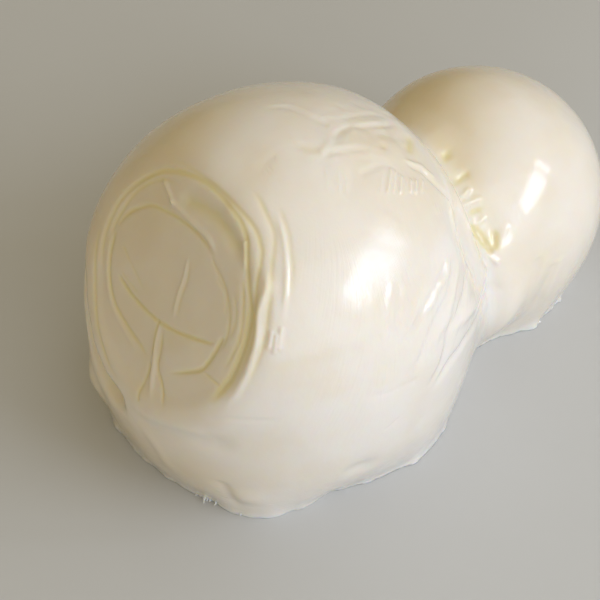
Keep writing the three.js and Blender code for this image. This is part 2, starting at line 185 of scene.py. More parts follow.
# Strokes over the belly: depth, width, then points as bearing and height angle from the belly's middle
BELLY_STROKES = {
    "left crease": (0.12, 0.80, [(68, 77.8), (42.7, 76.9), (17.1, 77.5), (-10.4, 75.4), (-16.5, 73.6)]),
    "left crease lip": (-0.07, 0.70, [(60, 75.6), (34, 75.3), (8, 75.4), (-9, 72.6)]),
    "crown crease": (0.18, 0.75, [(-39, 74.8), (-24.9, 71.8), (-18.9, 67.6), (-17.4, 62), (-14, 55), (-10.3, 49.3)]),
    "crown lip": (-0.09, 0.70, [(-26, 69.4), (-17, 66), (-13.4, 61), (-11.2, 54.6)]),
    "high crease": (0.09, 0.70, [(-11.1, 70.4), (-7.3, 64.2), (-5.9, 55.9), (-7.1, 52.2)]),
    "middle crease": (0.16, 0.75, [(-66.4, 76), (-52.5, 72.7), (-44, 68.3), (-38.3, 62.9)]),
    "middle lip": (-0.08, 0.70, [(-56, 75.2), (-43, 71.4), (-35, 66)]),
    "slanting ridge": (-0.12, 0.80, [(-75.2, 76), (-51.9, 76), (-31.8, 73.9)]),
    "low crease": (0.18, 0.75, [(-64, 64), (-57.4, 63.4), (-51.1, 61.5), (-44, 58.2)]),
    "low hollow": (0.16, 2.20, [(-68.5, 65.3), (-60.4, 62.3)]),
    "middle hollow": (0.14, 2.60, [(-70, 71), (-52, 66)]),
    "crown hollow": (0.12, 2.40, [(-26, 64), (-22, 56)]),
    "fold lip": (-0.24, 0.48, [(-37, 54), (-35.6, 49.7), (-34.8, 46.9), (-35.9, 44.8), (-36, 41)]),
    "fold under": (0.26, 0.50, [(-39, 53), (-38, 49.8), (-37.8, 46.8), (-39, 44.2), (-39.6, 39.1), (-37.8, 33),
                                (-37.6, 27.6)]),
    "short streak": (-0.06, 0.40, [(-52.3, 40.4), (-47.4, 38.2)]),
    "short streak above": (-0.05, 0.40, [(-51.8, 42), (-47.7, 40.2)]),
    "edge wrinkle": (0.08, 0.70, [(9, 58.8), (-3, 57)]),
    "edge wrinkle beside": (0.08, 0.70, [(12, 65.3), (-2, 65.1)]),
    "end wrinkle": (0.06, 0.80, [(-152, 73), (-137, 81), (-126, 82)]),
    "pale fold": (-0.12, 0.80, [(-80.9, 35.4), (-85.8, 29.1), (-90.7, 22.2)]),
    "pale fold beside": (-0.10, 0.80, [(-85.9, 37.8), (-91, 30.4), (-95.8, 22.8)]),
    "pale fold above": (-0.10, 0.70, [(-76.6, 30.4), (-83.2, 25.2), (-87, 20.6)]),
    "skirt line": (0.10, 0.70, [(-104, 8.6), (-95.8, 6.2), (-91, 5.8), (-84, 4.6)]),
    "rim hollow": (0.45, 2.20, [(-111, -24), (-103, -24.6), (-95, -28)]),
    "scratch": (0.05, 0.40, [(-97.4, -9.6), (-91.6, -6.4)]),
    "under line": (0.12, 0.70, [(-148.6, 0.8), (-142.7, 4.1), (-136.3, 5.2), (-126, 5.8)]),
    # The small tints of the two left folds paint shade into the deep fold under the flat end
    "left fold": (3.2, 1.80, [(148, -1), (153, -6), (158, -10), (163, -12.6), (169, -14.6), (175, -14.8),
                              (182, -14)], 0.03),
    "left fold fades": (1.5, 1.90, [(137, 7.4), (142, 4.2), (147, 0), (152, -5), (156, -8.6)], 0.02),
    "left fold trail": (0.8, 2.20, [(120, 14.6), (128, 11.6), (135, 8.4), (142, 4.2), (148, -1)]),
    "front pleat": (-0.22, 1.60, [(181, -13), (186.5, -15), (192, -19), (194.5, -26), (194, -36)]),
    "foot pleat": (0.42, 1.20, [(-146.2, -25), (-145.3, -28), (-144.4, -31.5), (-143.7, -35.5), (-143.3, -39),
                                (-143, -44)]),
    "foot swell": (-0.45, 2.60, [(-139.6, -27), (-138.4, -33), (-137.8, -40)]),
    "left swell": (-1.3, 4.00, [(146, -22), (155, -26), (163, -33)]),
    "end's lower edge": (0.50, 2.20, [(180, -13.5), (-171.6, -14.4), (-163, -11.8), (-155, -9.3), (-146, -7.5),
                                      (-138, -5)]),
    "end's lower lip": (-0.25, 1.60, [(180, -9.6), (-171.6, -10.4), (-163, -7.6), (-155, -5.2), (-147, -3.4)]),
    "shoulder hollow": (2.9, 6.00, [(-33, 40), (-38, 30), (-41, 19), (-43, 8), (-44, -4)]),
}
# Strokes over the belly whose grooves are tinted, given in the same way: yellowed lines in the grooves, and painted
# shade in the pit and the vales
YELLOWED_AND_SHADED_STROKES = {
    "second groove": (0.12, 0.55, [(-152, 71.6), (-143.9, 69.5), (-138.4, 67.3), (-133.5, 63.7), (-129.6, 59.6),
                                   (-129.1, 56.4), (-130, 51), (-130.4, 45.7), (-130.8, 40.5), (-131.8, 32.6),
                                   (-133.9, 24.8), (-136.9, 16.8), (-140, 11)]),
    "third groove": (0.08, 0.55, [(-127.4, 67.4), (-124.4, 63.5), (-122.6, 60), (-121.9, 55.5), (-122, 49.3),
                                  (-122.7, 45.6), (-124.2, 38)]),
    "left pit": (0.16, 1.10, [(-66.5, 81.4), (-62, 78.6)], 0.3),
    "vale": (0.14, 0.80, [(-27.7, 59), (-37, 59.7)], 0.6),
    "shoulder vale": (0.24, 0.90, [(-17, 47.4), (-32.1, 51.3)], 0.6),
}
SECOND_ROLL = (-0.21, 0.55, [(-128.6, 65.4), (-125.8, 61.3), (-124.6, 58.2), (-124.1, 54.3), (-124.1, 49.3),
                             (-124.5, 45.6), (-125, 42), (-126.6, 34)])
# Short upright ridges where the skin is bunched: height, then their two ends on the belly
BUNCHES = [(0.05, (-70.9, 66.8), (-81.7, 63.3)), (0.24, (-44.1, 57.1), (-63, 55.3)), (0.18, (-44.3, 56), (-60, 53.8)),
           (0.26, (-45.6, 53.8), (-58, 52.2)), (0.24, (-44.7, 50.8), (-53.5, 49.4)),
           (0.27, (-43.1, 49.2), (-52.3, 47.8)), (0.22, (-40.7, 46.8), (-49.7, 46.4)),
           (0.04, (-68.2, 70.4), (-84.2, 65)), (0.04, (-73.8, 73.5), (-90.8, 66.6)),
           (0.06, (-51.6, 59.2), (-65.9, 56.9)), (0.20, (-129.7, 34), (-130.9, 27.4)),
           (0.20, (-128.2, 33.4), (-129.1, 26.4)), (0.20, (-126.5, 35), (-127.7, 27.2))]
BUNCH_WIDTH = 0.42

# Puckers and the pinch of the neck: depth, width, then points along, aside and up from the belly's foot, and for some
# how far their grooves are tinted. The tint in the neck's valley, pits, gaps and tuck is painted shade in the pinch.
NECK_STROKES = {
    "neck valley": (1.4, 3.40, [(39, 2, 47.6), (38.8, -2, 47.6), (38.3, -5.5, 47), (38, -9.6, 45.4),
                                (37.8, -12.5, 43.4), (37.7, -15.2, 40.8), (37.8, -17.4, 38), (37.9, -19, 35.4),
                                (37.8, -20, 33.4)], 0.03),
    "pit": (0.36, 0.95, [(39.4, -2.8, 47.9), (38.9, -3.8, 47.7), (37.7, -4.7, 47.4), (37.4, -6.2, 46.9)], 0.6),
    "lower pit": (0.34, 0.90, [(36.9, -9.6, 45.3), (38.2, -9.5, 45.6), (39.1, -9.4, 45.7)], 0.5),
    "pucker": (-0.50, 0.60, [(35.2, -12.6, 44), (36.3, -12.1, 43.6), (37.5, -11.8, 44), (39.2, -11.9, 44.3)]),
    "second pucker": (-0.52, 0.60, [(35, -13.8, 43), (36.2, -13.5, 42.5), (37.3, -13.7, 42.5), (40, -14.2, 42.6)]),
    "pucker gap": (0.36, 0.60, [(35.6, -14.9, 41.3), (36.5, -15, 41.1), (37.7, -15.3, 41.1), (39.2, -15.8, 41)], 0.6),
    "third pucker": (-0.50, 0.65, [(35.8, -16.8, 39), (36.7, -16.7, 39.2), (37.9, -16.7, 39.7), (38.9, -16.5, 40.2)]),
    "tuck": (0.60, 0.60, [(34.6, -16.4, 40.2), (35.4, -16.8, 38.7), (36.1, -17.9, 36.9), (36.5, -19.3, 34.8),
                          (37.1, -20.4, 33.2)], 0.8),
    "tuck beside": (0.42, 0.80, [(39.2, -18.1, 38.1), (38.5, -19.1, 36.4), (37.9, -19.9, 34.8),
                                 (37.3, -20.4, 33.4)], 0.6),
    "tuck lip": (-0.36, 0.60, [(35.7, -18.6, 35.8), (35.8, -19.3, 34.5), (36.3, -20.1, 33.2), (37.2, -21.2, 31.9),
                               (38.3, -21.8, 31.6)]),
    "head lip": (-0.18, 0.65, [(41.8, -18.8, 38), (40.8, -19.2, 37), (39.7, -19.8, 35.9), (38.5, -20.2, 34.6),
                               (37.6, -20.7, 33.1)]),
    "first gap": (0.20, 0.75, [(16.8, -28.2, 52), (15.2, -29, 52), (13.1, -30.1, 51.4), (10.4, -31.5, 50.5),
                               (7.5, -32.6, 49.6), (4.8, -33.7, 48.2), (2.6, -34.3, 47.2), (0.4, -34.8, 45.9),
                               (-1.2, -35.4, 44.1)], 0.0),
    "first fold": (-0.30, 0.80, [(17.6, -28, 51.4), (15.8, -28.8, 51.8), (14.3, -30.2, 50.5), (11, -31.5, 50.1),
                                 (9, -32.6, 49.1), (7.6, -33, 48.7), (5.4, -33.9, 47.5)]),
    "second gap": (0.22, 0.80, [(20.7, -27, 50.5), (16.8, -29.5, 49.8), (14.6, -31.1, 48.6), (13.2, -32.2, 47.4),
                                (11, -33.1, 46.8), (9.5, -33.7, 46.2), (7.8, -34.4, 45.1), (6.4, -35, 44),
                                (5, -35.6, 42.5), (4, -36, 41.1), (1.9, -36.4, 40), (-0.1, -36.6, 39)], 0.0),
    "second fold": (-0.28, 1.10, [(21, -27.4, 49.4), (17.9, -29.4, 49), (15.2, -31.5, 47.3), (13.3, -32.8, 45.6),
                                  (11.2, -34.1, 43.8), (9.3, -34.7, 43.3), (8.1, -35.2, 42), (7.3, -35.9, 39.7)]),
    "third gap": (0.34, 1.00, [(28.3, -25, 42.2), (24.5, -27.3, 44.2), (20.7, -29.5, 45.2), (18.6, -31.2, 44.2),
                               (16.4, -32.5, 43.1), (14.8, -33.4, 42.2), (11.9, -34.6, 41.3), (10.8, -35.4, 38.4),
                               (9.1, -36, 35.2), (6.9, -36.5, 33.2), (5.2, -36.7, 31.4)], 0.0),
    "web fold": (-0.50, 1.40, [(36.8, -20.4, 32.4), (34.4, -21.1, 32.3), (30.5, -24.3, 34.4), (26.6, -27.9, 36.6),
                               (23, -30.3, 38), (19.5, -32.1, 39.2), (15.8, -33.5, 40.3), (13, -34.3, 40.8)]),
    "web gap": (0.42, 1.20, [(37.4, -21.9, 30.6), (35.7, -22.4, 27.1), (31.6, -24.4, 28.6), (28.1, -27, 31.1),
                             (24.2, -29.9, 32), (18.3, -33.1, 33.8), (15.5, -34.3, 33.5), (12, -35.4, 33.3),
                             (9, -36.1, 31.6), (6.2, -36.6, 30.2)], 0.0),
    "head ridge": (-0.20, 1.20, [(48.4, -24.5, 29.6), (47.5, -24.3, 27.2), (45.8, -23.9, 22.2), (45.5, -22.2, 14.9),
                                 (47, -20, 8)]),
    "head groove": (0.20, 1.10, [(50, -24.8, 26.4), (49.6, -24.8, 24.1), (48.2, -23.8, 18.2),
                                 (49, -21.4, 10.6)], 0.0),
    "head ridge beside": (-0.16, 1.20, [(51.6, -24.9, 27), (51.4, -24.9, 25.2), (50.7, -24.4, 19.3),
                                        (50.8, -22.4, 12.3)]),
    "head groove beside": (0.20, 1.10, [(46, -23.8, 29.6), (45.8, -23.8, 27.9), (44, -23.4, 22.9),
                                        (43.7, -21.3, 13.8)], 0.0),
}

# Patches of the belly painted yellower: painted shade on the back and on the crumpled shoulder, on the sides away
# from the lights, and a yellower tone on the upper front. How far, the nearness at which it starts and is full, and
# the way from the belly's middle to the patch
BELLY_YELLOWING_AND_SHADE = {
    "back": (0.45, 0.7, 0.96, (-0.49, 0.59, 0.64)),
    "upper front": (0.14, 0.8, 0.97, (-0.1, -0.35, 0.93)),
    "crumpled shoulder": (0.25, 0.9, 0.985, (0.37, -0.44, 0.82)),
}
# Painted shade on the head, darker and yellower: a little all over, and more towards the neck at the back, away from
# the lights
HEAD_PAINTED_SHADE, HEAD_PAINTED_SHADE_ALL_OVER = (0.55, 0.25, 0.85, (-0.7, 0.5, 0.5)), 0.14
# The flat end is painted yellower, partly dried skin and partly painted shade on the face turned from the lights, and
# a band
# low on the far left is painted shade: how far, its height and how far it spreads, and where it fades
END_YELLOWING_AND_SHADE, LEFT_PAINTED_SHADE = 0.3, 0.5
LEFT_SHADE_BAND, LEFT_SHADE_FADE = (13, 11), (-34, -20)

# Torn curd beside the skin: its blotches, how much duller it is, and its pores
TORN_BLOTCHES, TORN_DULLNESS, TORN_PORES = 0.15, 0.2, 0.35

# How steeply the hanging folds fall at each bearing
FOLD_BEARINGS = np.array([-180, -100, -90, -80, -70, -45, 0, 180])
FOLD_FALLS = np.array([2.2, 2.2, 1.7, 0.9, 0.6, 0.45, 0.4, 0.4])
# Millimetres of skin in one degree
FOLD_DEGREE = 0.6
# Width of one hanging fold
HANG_SIZE = 2.2

# Lights round the belly: bearing, height angle, distance, width and height in metres, and roll
LIGHTS = {
    "Window": (-66.5, 28, 0.7, (0.38, 0.175), 14),
    "Window pane": (-42.5, 32, 0.7, (0.055, 0.185), 8),
    "Front light": (-104, 28, 0.9, (1.3, 0.8), 0),
    "Top light": (-20, 58, 0.9, (1.3, 1.0), 0),
    "Back light": (24, 38, 0.9, (1.2, 0.7), 0),
}
# Power of the window's pane beside the whole window's
PANE_SHARE = 0.15
# Half the floor's width in metres, and how far its grain lightens and darkens it
FLOOR_HALF, FLOOR_GRAIN = 3.0, 0.015
# Where the camera looks, to the right of the belly's middle and below it, in metres
AIM_RIGHT, AIM_DOWN = 0.00425, 0.00353


def ease(start, end, value):
    """Rises smoothly from 0 at start to 1 at end."""
    t = np.clip((value - start) / (end - start), 0, 1)
    return t * t * (3 - 2 * t)


def soft_max(a, b, blend):
    near = np.maximum(blend - np.abs(a - b), 0) / blend
    return np.maximum(a, b) + near * near * blend * 0.25


def soft_min(a, b, blend):
    return -soft_max(-a, -b, blend)


def bell(distance, width):
    return np.exp(-((distance / width) ** 2))


def band(start, full, fade, end, value):
    """Rises from 0 at start to 1 at full, and falls from 1 at fade to 0 at end."""
    return ease(start, full, value) * (1 - ease(fade, end, value))


def unit(vectors):
    return vectors / np.maximum(np.linalg.norm(vectors, axis=-1, keepdims=True), 1e-9)


class Form:
    """The cheese's own form, in millimetres, worked out from the sizes in the panel."""

    def __init__(self, sizes):
        self.belly = sizes.belly_radius / MM
        self.height = sizes.belly_height / MM
        self.shoulder = sizes.shoulder_reach / MM
        self.head = sizes.head_radius / MM
        self.head_height = sizes.head_height / MM
        self.head_aside = sizes.head_aside / MM
        self.gap = sizes.head_distance / MM
        self.depth = sizes.end_depth / MM
        self.lip = sizes.lip / MM
        self.waviness = sizes.lip_waviness / MM
        self.lean = sizes.end_lean
        self.fold_depth = sizes.fold_depth
        self.waves = np.random.default_rng(sizes.seed).uniform(0, 2 * math.pi, len(LIP_WAVES))
        self.middle = np.array([0, 0, self.height])
        self.end_out = np.array([-math.cos(self.lean), 0, math.sin(self.lean)])
        self.end_front = np.array([0, -1, 0])
        self.end_up = np.array([math.sin(self.lean), 0, math.cos(self.lean)])
        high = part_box(NODE)[1]
        self.place = np.array([high.x / MM - self.gap - self.head, 0, 0])

    def radius(self, along):
        """Half width of the turned body: the belly's oval and the head's circle, softly joined."""
        half = np.where(along < 0, self.belly, self.shoulder)
        belly = self.belly * np.sqrt(np.maximum(1 - (along / half) ** 2, 0))
        head = np.sqrt(np.maximum(self.head ** 2 - (along - self.gap) ** 2, 0))
        between = (along > 0) & (along < self.gap)
        return np.where(between, soft_max(belly, head, NECK_BLEND), np.maximum(belly, head))

    def on_body(self, raw):
        """Moves points close to the turned body onto it."""
        raw = raw.copy()
        back, front = raw[:, 0] < 0, raw[:, 0] > self.gap
        raw[back] = unit(raw[back]) * self.belly
        head = np.array([self.gap, 0, 0])
        raw[front] = head + unit(raw[front] - head) * self.head
        rest = ~(back | front)
        raw[rest, 1:] = unit(raw[rest, 1:]) * self.radius(raw[rest, 0])[:, None]
        return raw

    def foot_reach(self, way):
        """Smooth curve through the foot's stations, closed on itself."""
        stations, reaches = FOOT_REACH.T
        count = len(stations)
        i = np.searchsorted(stations, way, side="right") - 1
        ends = np.append(stations, 6)
        t = (way - ends[i]) / (ends[i + 1] - ends[i])
        before, here, there, after = (reaches[(i + k) % count] for k in (-1, 0, 1, 2))
        return ((2 * t ** 3 - 3 * t ** 2 + 1) * here + (t ** 3 - 2 * t ** 2 + t) * (there - before) / 2
                + (3 * t ** 2 - 2 * t ** 3) * there + (t ** 3 - t ** 2) * (after - here) / 2)

    def lip_wave(self, way):
        ragged = 1 + RAGGED_SIDE * bell(way - RAGGED_SIDE_AT, RAGGED_SIDE_SPREAD)
        waves = sum(share * np.sin(math.pi / 3 * count * way + start)
                    for (count, share), start in zip(LIP_WAVES, self.waves))
        return self.waviness * ragged * waves

    def way_round(self, along, out, aside):
        turn = np.degrees(np.arctan2(aside, out))
        share = along / self.gap
        belly_end = np.where(turn <= 0, (180 + turn) / 90, 5 + (turn - 90) / 90)
        between = np.where(aside <= 0, 1 + share, 5 - share)
        way = np.where(along < 0, belly_end, np.where(along > self.gap, 2 + (turn + 90) / 90, between))
        return way % 6

    def leaned(self, raw):
        """The turned body's rings lean with the flat end and stand upright from the middle of the belly on."""
        polar = np.degrees(np.arccos(np.clip(-raw[:, 0] / self.belly, -1, 1)))
        lean = self.lean * (1 - ease(LEAN_FADE_START, LEAN_FADE_END, polar)) * (raw[:, 0] < 0)
        c, s = np.cos(lean), np.sin(lean)
        return np.stack([raw[:, 0] * c + raw[:, 2] * s, raw[:, 1], raw[:, 2] * c - raw[:, 0] * s], axis=1)

    def bend(self, along):
        return ease(BEND_START, BEND_END, along)

    def sunk(self, raw):
        """How far below the widest line a point is: 0 on it, WALL_SHARE on the foot's edge, 1 under the middle."""
        point = self.leaned(raw)
        ball = self.radius(np.clip(point[:, 0], 0, self.gap))
        return np.arcsin(np.clip(-point[:, 2] / ball, -1, 1)) / (math.pi / 2)

    def shape(self, raw, sunk):
        """Moves points of the turned body to the cheese's own form, with its foot and its flat end."""
        point = self.leaned(raw)
        along = point[:, 0]
        bend = self.bend(along)
        height = self.height + (self.head_height - self.height) * bend
        spine = np.clip(along, 0, self.gap)
        out = along - spine
        aside = point[:, 1]
        far = np.maximum(np.hypot(out, aside), 1e-9)
        ball = self.radius(spine)
        way = self.way_round(along, out, aside)
        reach = self.foot_reach(way)
        down = np.clip(sunk / WALL_SHARE, 0, 1)
        z = height * (1 - down) ** WALL_CROWDING
        headward = ease(BOWL_CHANGE_START, BOWL_CHANGE_END, along)
        power = BOWL_POWER + (HEAD_BOWL_POWER - BOWL_POWER) * headward
        bowl = 1 - (1 - z / height) ** power
        near_lip = np.exp(-z / LIP_HEIGHT)
        wave = self.lip_wave(way)
        wall = reach + (ball - reach) * bowl + self.lip * (near_lip - 1 + bowl) + wave * near_lip
        share = np.clip((1 - sunk) / (1 - WALL_SHARE), 0, 1)
        distance = np.where(down < 1, wall, (reach + wave - FOOT_ROUNDING) * share)
        low = np.stack([spine + out / far * distance, aside / far * distance, z], axis=1)
        high = np.stack([along, aside, point[:, 2] + height], axis=1)
        point = np.where((sunk > 0)[:, None], low, high)
        point[:, 1] += self.head_aside * bend - self.web(point)
        proud = (point - self.middle) @ self.end_out
        pressed = soft_min(proud, self.depth + END_DOME * (proud - self.depth), END_ROUNDING)
        return point + np.outer(pressed - proud, self.end_out)

    def web(self, point):
        along, up = ((point[:, k] - middle) / width for k, (middle, width) in ((0, WEB_ALONG), (2, WEB_HEIGHT)))
        return WEB_FILL * np.exp(-along ** 2 - up ** 2) * ease(*WEB_FRONT, -point[:, 1])

    def end_place(self, points):
        """Places on the flat end: to the front, upwards, and how far out they stand."""
        away = points - self.middle
        return np.stack([away @ self.end_front, away @ self.end_up], axis=1), away @ self.end_out

    def angles(self, points):
        """Bearing and height angle of points, seen from the belly's middle."""
        away = unit(points - self.middle)
        return np.degrees(np.arctan2(away[:, 1], away[:, 0])), np.degrees(np.arcsin(np.clip(away[:, 2], -1, 1)))

    def belly_place(self, points):
        return unit(points - self.middle) * self.belly

    def belly_spot(self, bearing, rise):
        turn, lift = np.radians(bearing), np.radians(rise)
        flat = np.cos(lift) * self.belly
        return np.stack([flat * np.cos(turn), flat * np.sin(turn), self.belly * np.sin(lift)], axis=-1)


def smooth_line(points, steps=6):
    """Catmull-Rom line through the points, as many short pieces."""
    points = np.asarray(points, float)
    padded = np.vstack([2 * points[0] - points[1], points, 2 * points[-1] - points[-2]])
    t = np.arange(steps)[:, None] / steps
    pieces = []
    for a, b, c, d in zip(padded, padded[1:], padded[2:], padded[3:]):
        pieces.append(b + t / 2 * (c - a + t * (2 * a - 5 * b + 4 * c - d + t * (3 * (b - c) + d - a))))
    return np.vstack(pieces + [points[-1:]])


def near_line(line, places):
    """Distance from each place to the line, and how far along the line its nearest point is, from 0 to 1."""
    best = np.full(len(places), np.inf)
    share = np.zeros(len(places))
    for i, (a, b) in enumerate(zip(line, line[1:])):
        span = b - a
        t = np.clip((places - a) @ span / (span @ span), 0, 1)
        distance = np.linalg.norm(places - a - t[:, None] * span, axis=1)
        closer = distance < best
        best[closer] = distance[closer]
        share[closer] = (i + t[closer]) / (len(line) - 1)
    return best, share


class Strokes:
    """Every groove and ridge of the skin, with the depth that it presses in at given points."""

    def __init__(self, form):
        self.form = form
        bunches = [(-height, BUNCH_WIDTH, [top, foot]) for height, top, foot in BUNCHES]
        belly = [*BELLY_STROKES.values(), SECOND_ROLL, *bunches]
        self.end = self.lines(END_STROKES.values(), 1.0)
        self.belly = self.lines(belly, 0.0, True) + self.lines(YELLOWED_AND_SHADED_STROKES.values(), 0.8, True)
        # The neck's grooves are tinted as painted shade in its pinch
        self.neck = self.lines(NECK_STROKES.values(), 0.45)

    def lines(self, strokes, tint, on_belly=False):
        made = []
        for depth, width, places, *own_tint in strokes:
            line = smooth_line(self.form.belly_spot(*np.array(places, float).T) if on_belly else places)
            length = np.linalg.norm(np.diff(line, axis=0), axis=1).sum()
            made.append((line, depth, width, length, own_tint[0] if own_tint else tint))
        return made

    def each(self, points):
        """Yields, for each stroke, the points near it, their distance, their share along it, and the stroke."""
        flat, proud = self.form.end_place(points)
        ball = self.form.belly_place(points)
        on_end = np.flatnonzero(proud > END_PROUD)
        off_neck = np.flatnonzero(points[:, 0] < NECK_ALONG)
        everywhere = np.arange(len(points))
        for strokes, places, kept in ((self.end, flat, on_end), (self.belly, ball, off_neck),
                                      (self.neck, points, everywhere)):
            for stroke in strokes:
                line, width = stroke[0], stroke[2]
                room = STROKE_REACH * width + STROKE_MARGIN
                inside = np.all((places[kept] > line.min(0) - room) & (places[kept] < line.max(0) + room), axis=1)
                near = kept[inside]
                if len(near):
                    yield near, *near_line(line, places[near]), stroke

    def press(self, points):
        """Depth pressed in at each point, and how far it lies in a tinted groove: yellowed lines, and painted shade
        in the deeper folds and the neck's pinch.
        """
        depth = np.zeros(len(points))
        groove = np.zeros(len(points))
        for near, distance, share, (_, deep, width, length, tint) in self.each(points):
            pressed = deep * bell(distance, width)
            if length > DENT_LENGTH * width:
                pressed *= ease(0, np.clip(2.5 * width / length, 0.2, 0.5), np.minimum(share, 1 - share))
            depth[near] += pressed
            groove[near] = np.maximum(groove[near], pressed * tint)
        flat, proud = self.form.end_place(points)
        middle = np.hypot(*(flat - PLATE_MIDDLE).T)
        depth += PLATE_SINK * (proud > PLATE_PROUD) * (1 - ease(*PLATE_EDGE, middle))
        return depth, groove

    def fineness(self, points):
        """Longest edge that the mesh may have at each point."""
        along, _, height = points.T
        bearing, rise = self.form.angles(points)
        size = np.full(len(points), EDGE_BACK)
        size[(bearing > -130) & (bearing < 60)] = EDGE_FRONT
        size[(bearing > -112) & (bearing < 8) & (rise > -8)] = EDGE_FOLDED
        flat, proud = self.form.end_place(points)
        size[(proud > PLATE_PROUD) & (np.hypot(*flat.T) < PLATE_FINE)] = EDGE_FOLDED
        size[along > HEAD_ALONG] = EDGE_FRONT
        size = np.where((height < LIP_TOP) & (height > LIP_FOOT), np.minimum(size, EDGE_LIP), size)
        size[height < UNDERSIDE] = EDGE_UNDER
        for near, distance, _, (_, _, width, _, _) in self.each(points):
            close = near[distance < STROKE_CORE * width + STROKE_CORE_MARGIN]
            size[close] = np.minimum(size[close], np.clip(EDGE_STROKE * width, *EDGE_STROKE_LIMITS))
        return size


def split(faces, edges, of_face, marked, first):
    """Cuts the faces at the marked edges, whose new points are counted from first on."""
    new = np.full(len(edges), -1)
    new[marked] = first + np.arange(marked.sum())
    cut = new[of_face.reshape(-1, 3)]
    number = (cut >= 0).sum(1)
    parts = [faces[number == 0]]
    for turn in range(3):
        a, b, c = (np.roll(faces, -turn, axis=1)).T
        ab, bc, ca = (np.roll(cut, -turn, axis=1)).T
        one = (number == 1) & (ab >= 0)
        parts += [np.stack([a, ab, c], 1)[one], np.stack([ab, b, c], 1)[one]]
        two = (number == 2) & (ca < 0)
        parts += [np.stack([ab, b, bc], 1)[two], np.stack([a, ab, bc], 1)[two], np.stack([a, bc, c], 1)[two]]
    a, b, c = faces[number == 3].T
    ab, bc, ca = cut[number == 3].T
    parts += [np.stack(t, 1) for t in ((a, ab, ca), (ab, b, bc), (ca, bc, c), (ab, bc, ca))]
    return np.vstack(parts)


def edges_of(faces, count):
    pairs = np.sort(faces[:, [0, 1, 1, 2, 2, 0]].reshape(-1, 2), axis=1)
    keys, of_face = np.unique(pairs[:, 0].astype(np.int64) * count + pairs[:, 1], return_inverse=True)
    return np.stack([keys // count, keys % count], axis=1), of_face


def turned_body(form, rings=36, around=48):
    """The turned body as a coarse closed mesh: points on it and triangles, poles at both ends."""
    ends = np.linspace(0, math.pi, rings + 1)[1:-1]
    middle = (form.gap + form.head - form.belly) / 2
    along = middle - (form.gap + form.head + form.belly) / 2 * np.cos(ends)
    turn = np.arange(around) * 2 * math.pi / around
    radius = form.radius(along)
    ring = np.stack([np.repeat(along, around), np.outer(radius, -np.sin(turn)).ravel(),
                     np.outer(radius, np.cos(turn)).ravel()], axis=1)
    raw = np.vstack([[-form.belly, 0, 0], ring, [form.gap + form.head, 0, 0]])
    here = 1 + np.arange((rings - 2) * around)
    aside = here + 1 - around * (here % around == 0)
    first = 1 + np.arange(around)
    last = first + (rings - 2) * around
    tip = len(raw) - 1
    faces = np.vstack([
        np.stack([np.zeros(around, int), np.roll(first, -1), first], 1),
        np.stack([here, aside, here + around], 1), np.stack([aside, aside + around, here + around], 1),
        np.stack([np.full(around, tip), last, np.roll(last, -1)], 1)])
    return raw, faces


def skin(form):
    """The cheese's skin: points in millimetres, triangles, and what the materials and nodes need at each point."""
    strokes = Strokes(form)
    raw, faces = turned_body(form)
    for _ in range(SPLIT_ROUNDS):
        points = form.shape(raw, form.sunk(raw))
        edges, of_face = edges_of(faces, len(raw))
        ends = points[edges]
        length = np.linalg.norm(ends[:, 0] - ends[:, 1], axis=1)
        marked = length > strokes.fineness(ends.mean(1))
        if not marked.any():
            break
        middles = form.on_body(raw[edges[marked]].mean(1))
        faces = split(faces, edges, of_face, marked, len(raw))
        raw = np.vstack([raw, middles])
    # the foot's edge runs along its own line of points
    sunk = form.sunk(raw)
    edges, of_face = edges_of(faces, len(raw))
    low, high = sunk[edges].T
    close = np.abs(sunk - WALL_SHARE) < EDGE_SNAP
    sunk[close] = WALL_SHARE
    marked = ((low - WALL_SHARE) * (high - WALL_SHARE) < 0) & ~close[edges].any(1)
    share = ((WALL_SHARE - low) / np.where(high == low, 1, high - low))[marked, None]
    a, b = raw[edges[marked]].transpose(1, 0, 2)
    faces = split(faces, edges, of_face, marked, len(raw))
    raw = np.vstack([raw, form.on_body(a + share * (b - a))])
    sunk = np.append(sunk, np.full(marked.sum(), WALL_SHARE))
    points = form.shape(raw, sunk)
    normals = point_normals(points, faces)
    depth, groove = strokes.press(points)
    fade = ease(RELIEF_LOW, RELIEF_FULL, points[:, 2])
    moved = points - normals * (form.fold_depth * depth * fade)[:, None]
    moved[:, 2] = np.maximum(moved[:, 2], 0)
    bearing, rise = form.angles(points)
    return moved, faces, {
        # Tint of the grooves: yellowed lines, and painted shade in the deeper folds and the neck's pinch
        "groove": np.clip(groove * fade / FULL_GROOVE, 0, 1),
        "crumple": crumple_share(bearing, rise) * fade,
        "fold": fold_share(bearing, rise) * fade,
        "fold_way": fold_way(bearing, rise),
        "streaks": streak_share(bearing, rise),
        # A painted glow of light through the thin lip, paler all round the foot
        "rim": np.exp(-points[:, 2] / LIP_HEIGHT),
        # Painted yellowing: dried skin on the flat end, painted shade on the belly, head and far left
        "aged": yellowed_and_painted_shade_share(form, points),
    }, np.abs(sunk - WALL_SHARE) < 1e-9


def point_normals(points, faces):
    a, b, c = points[faces].transpose(1, 0, 2)
    normals = np.zeros_like(points)
    face = np.cross(b - a, c - a)
    for k in range(3):
        np.add.at(normals, faces[:, k], face)
    return unit(normals)


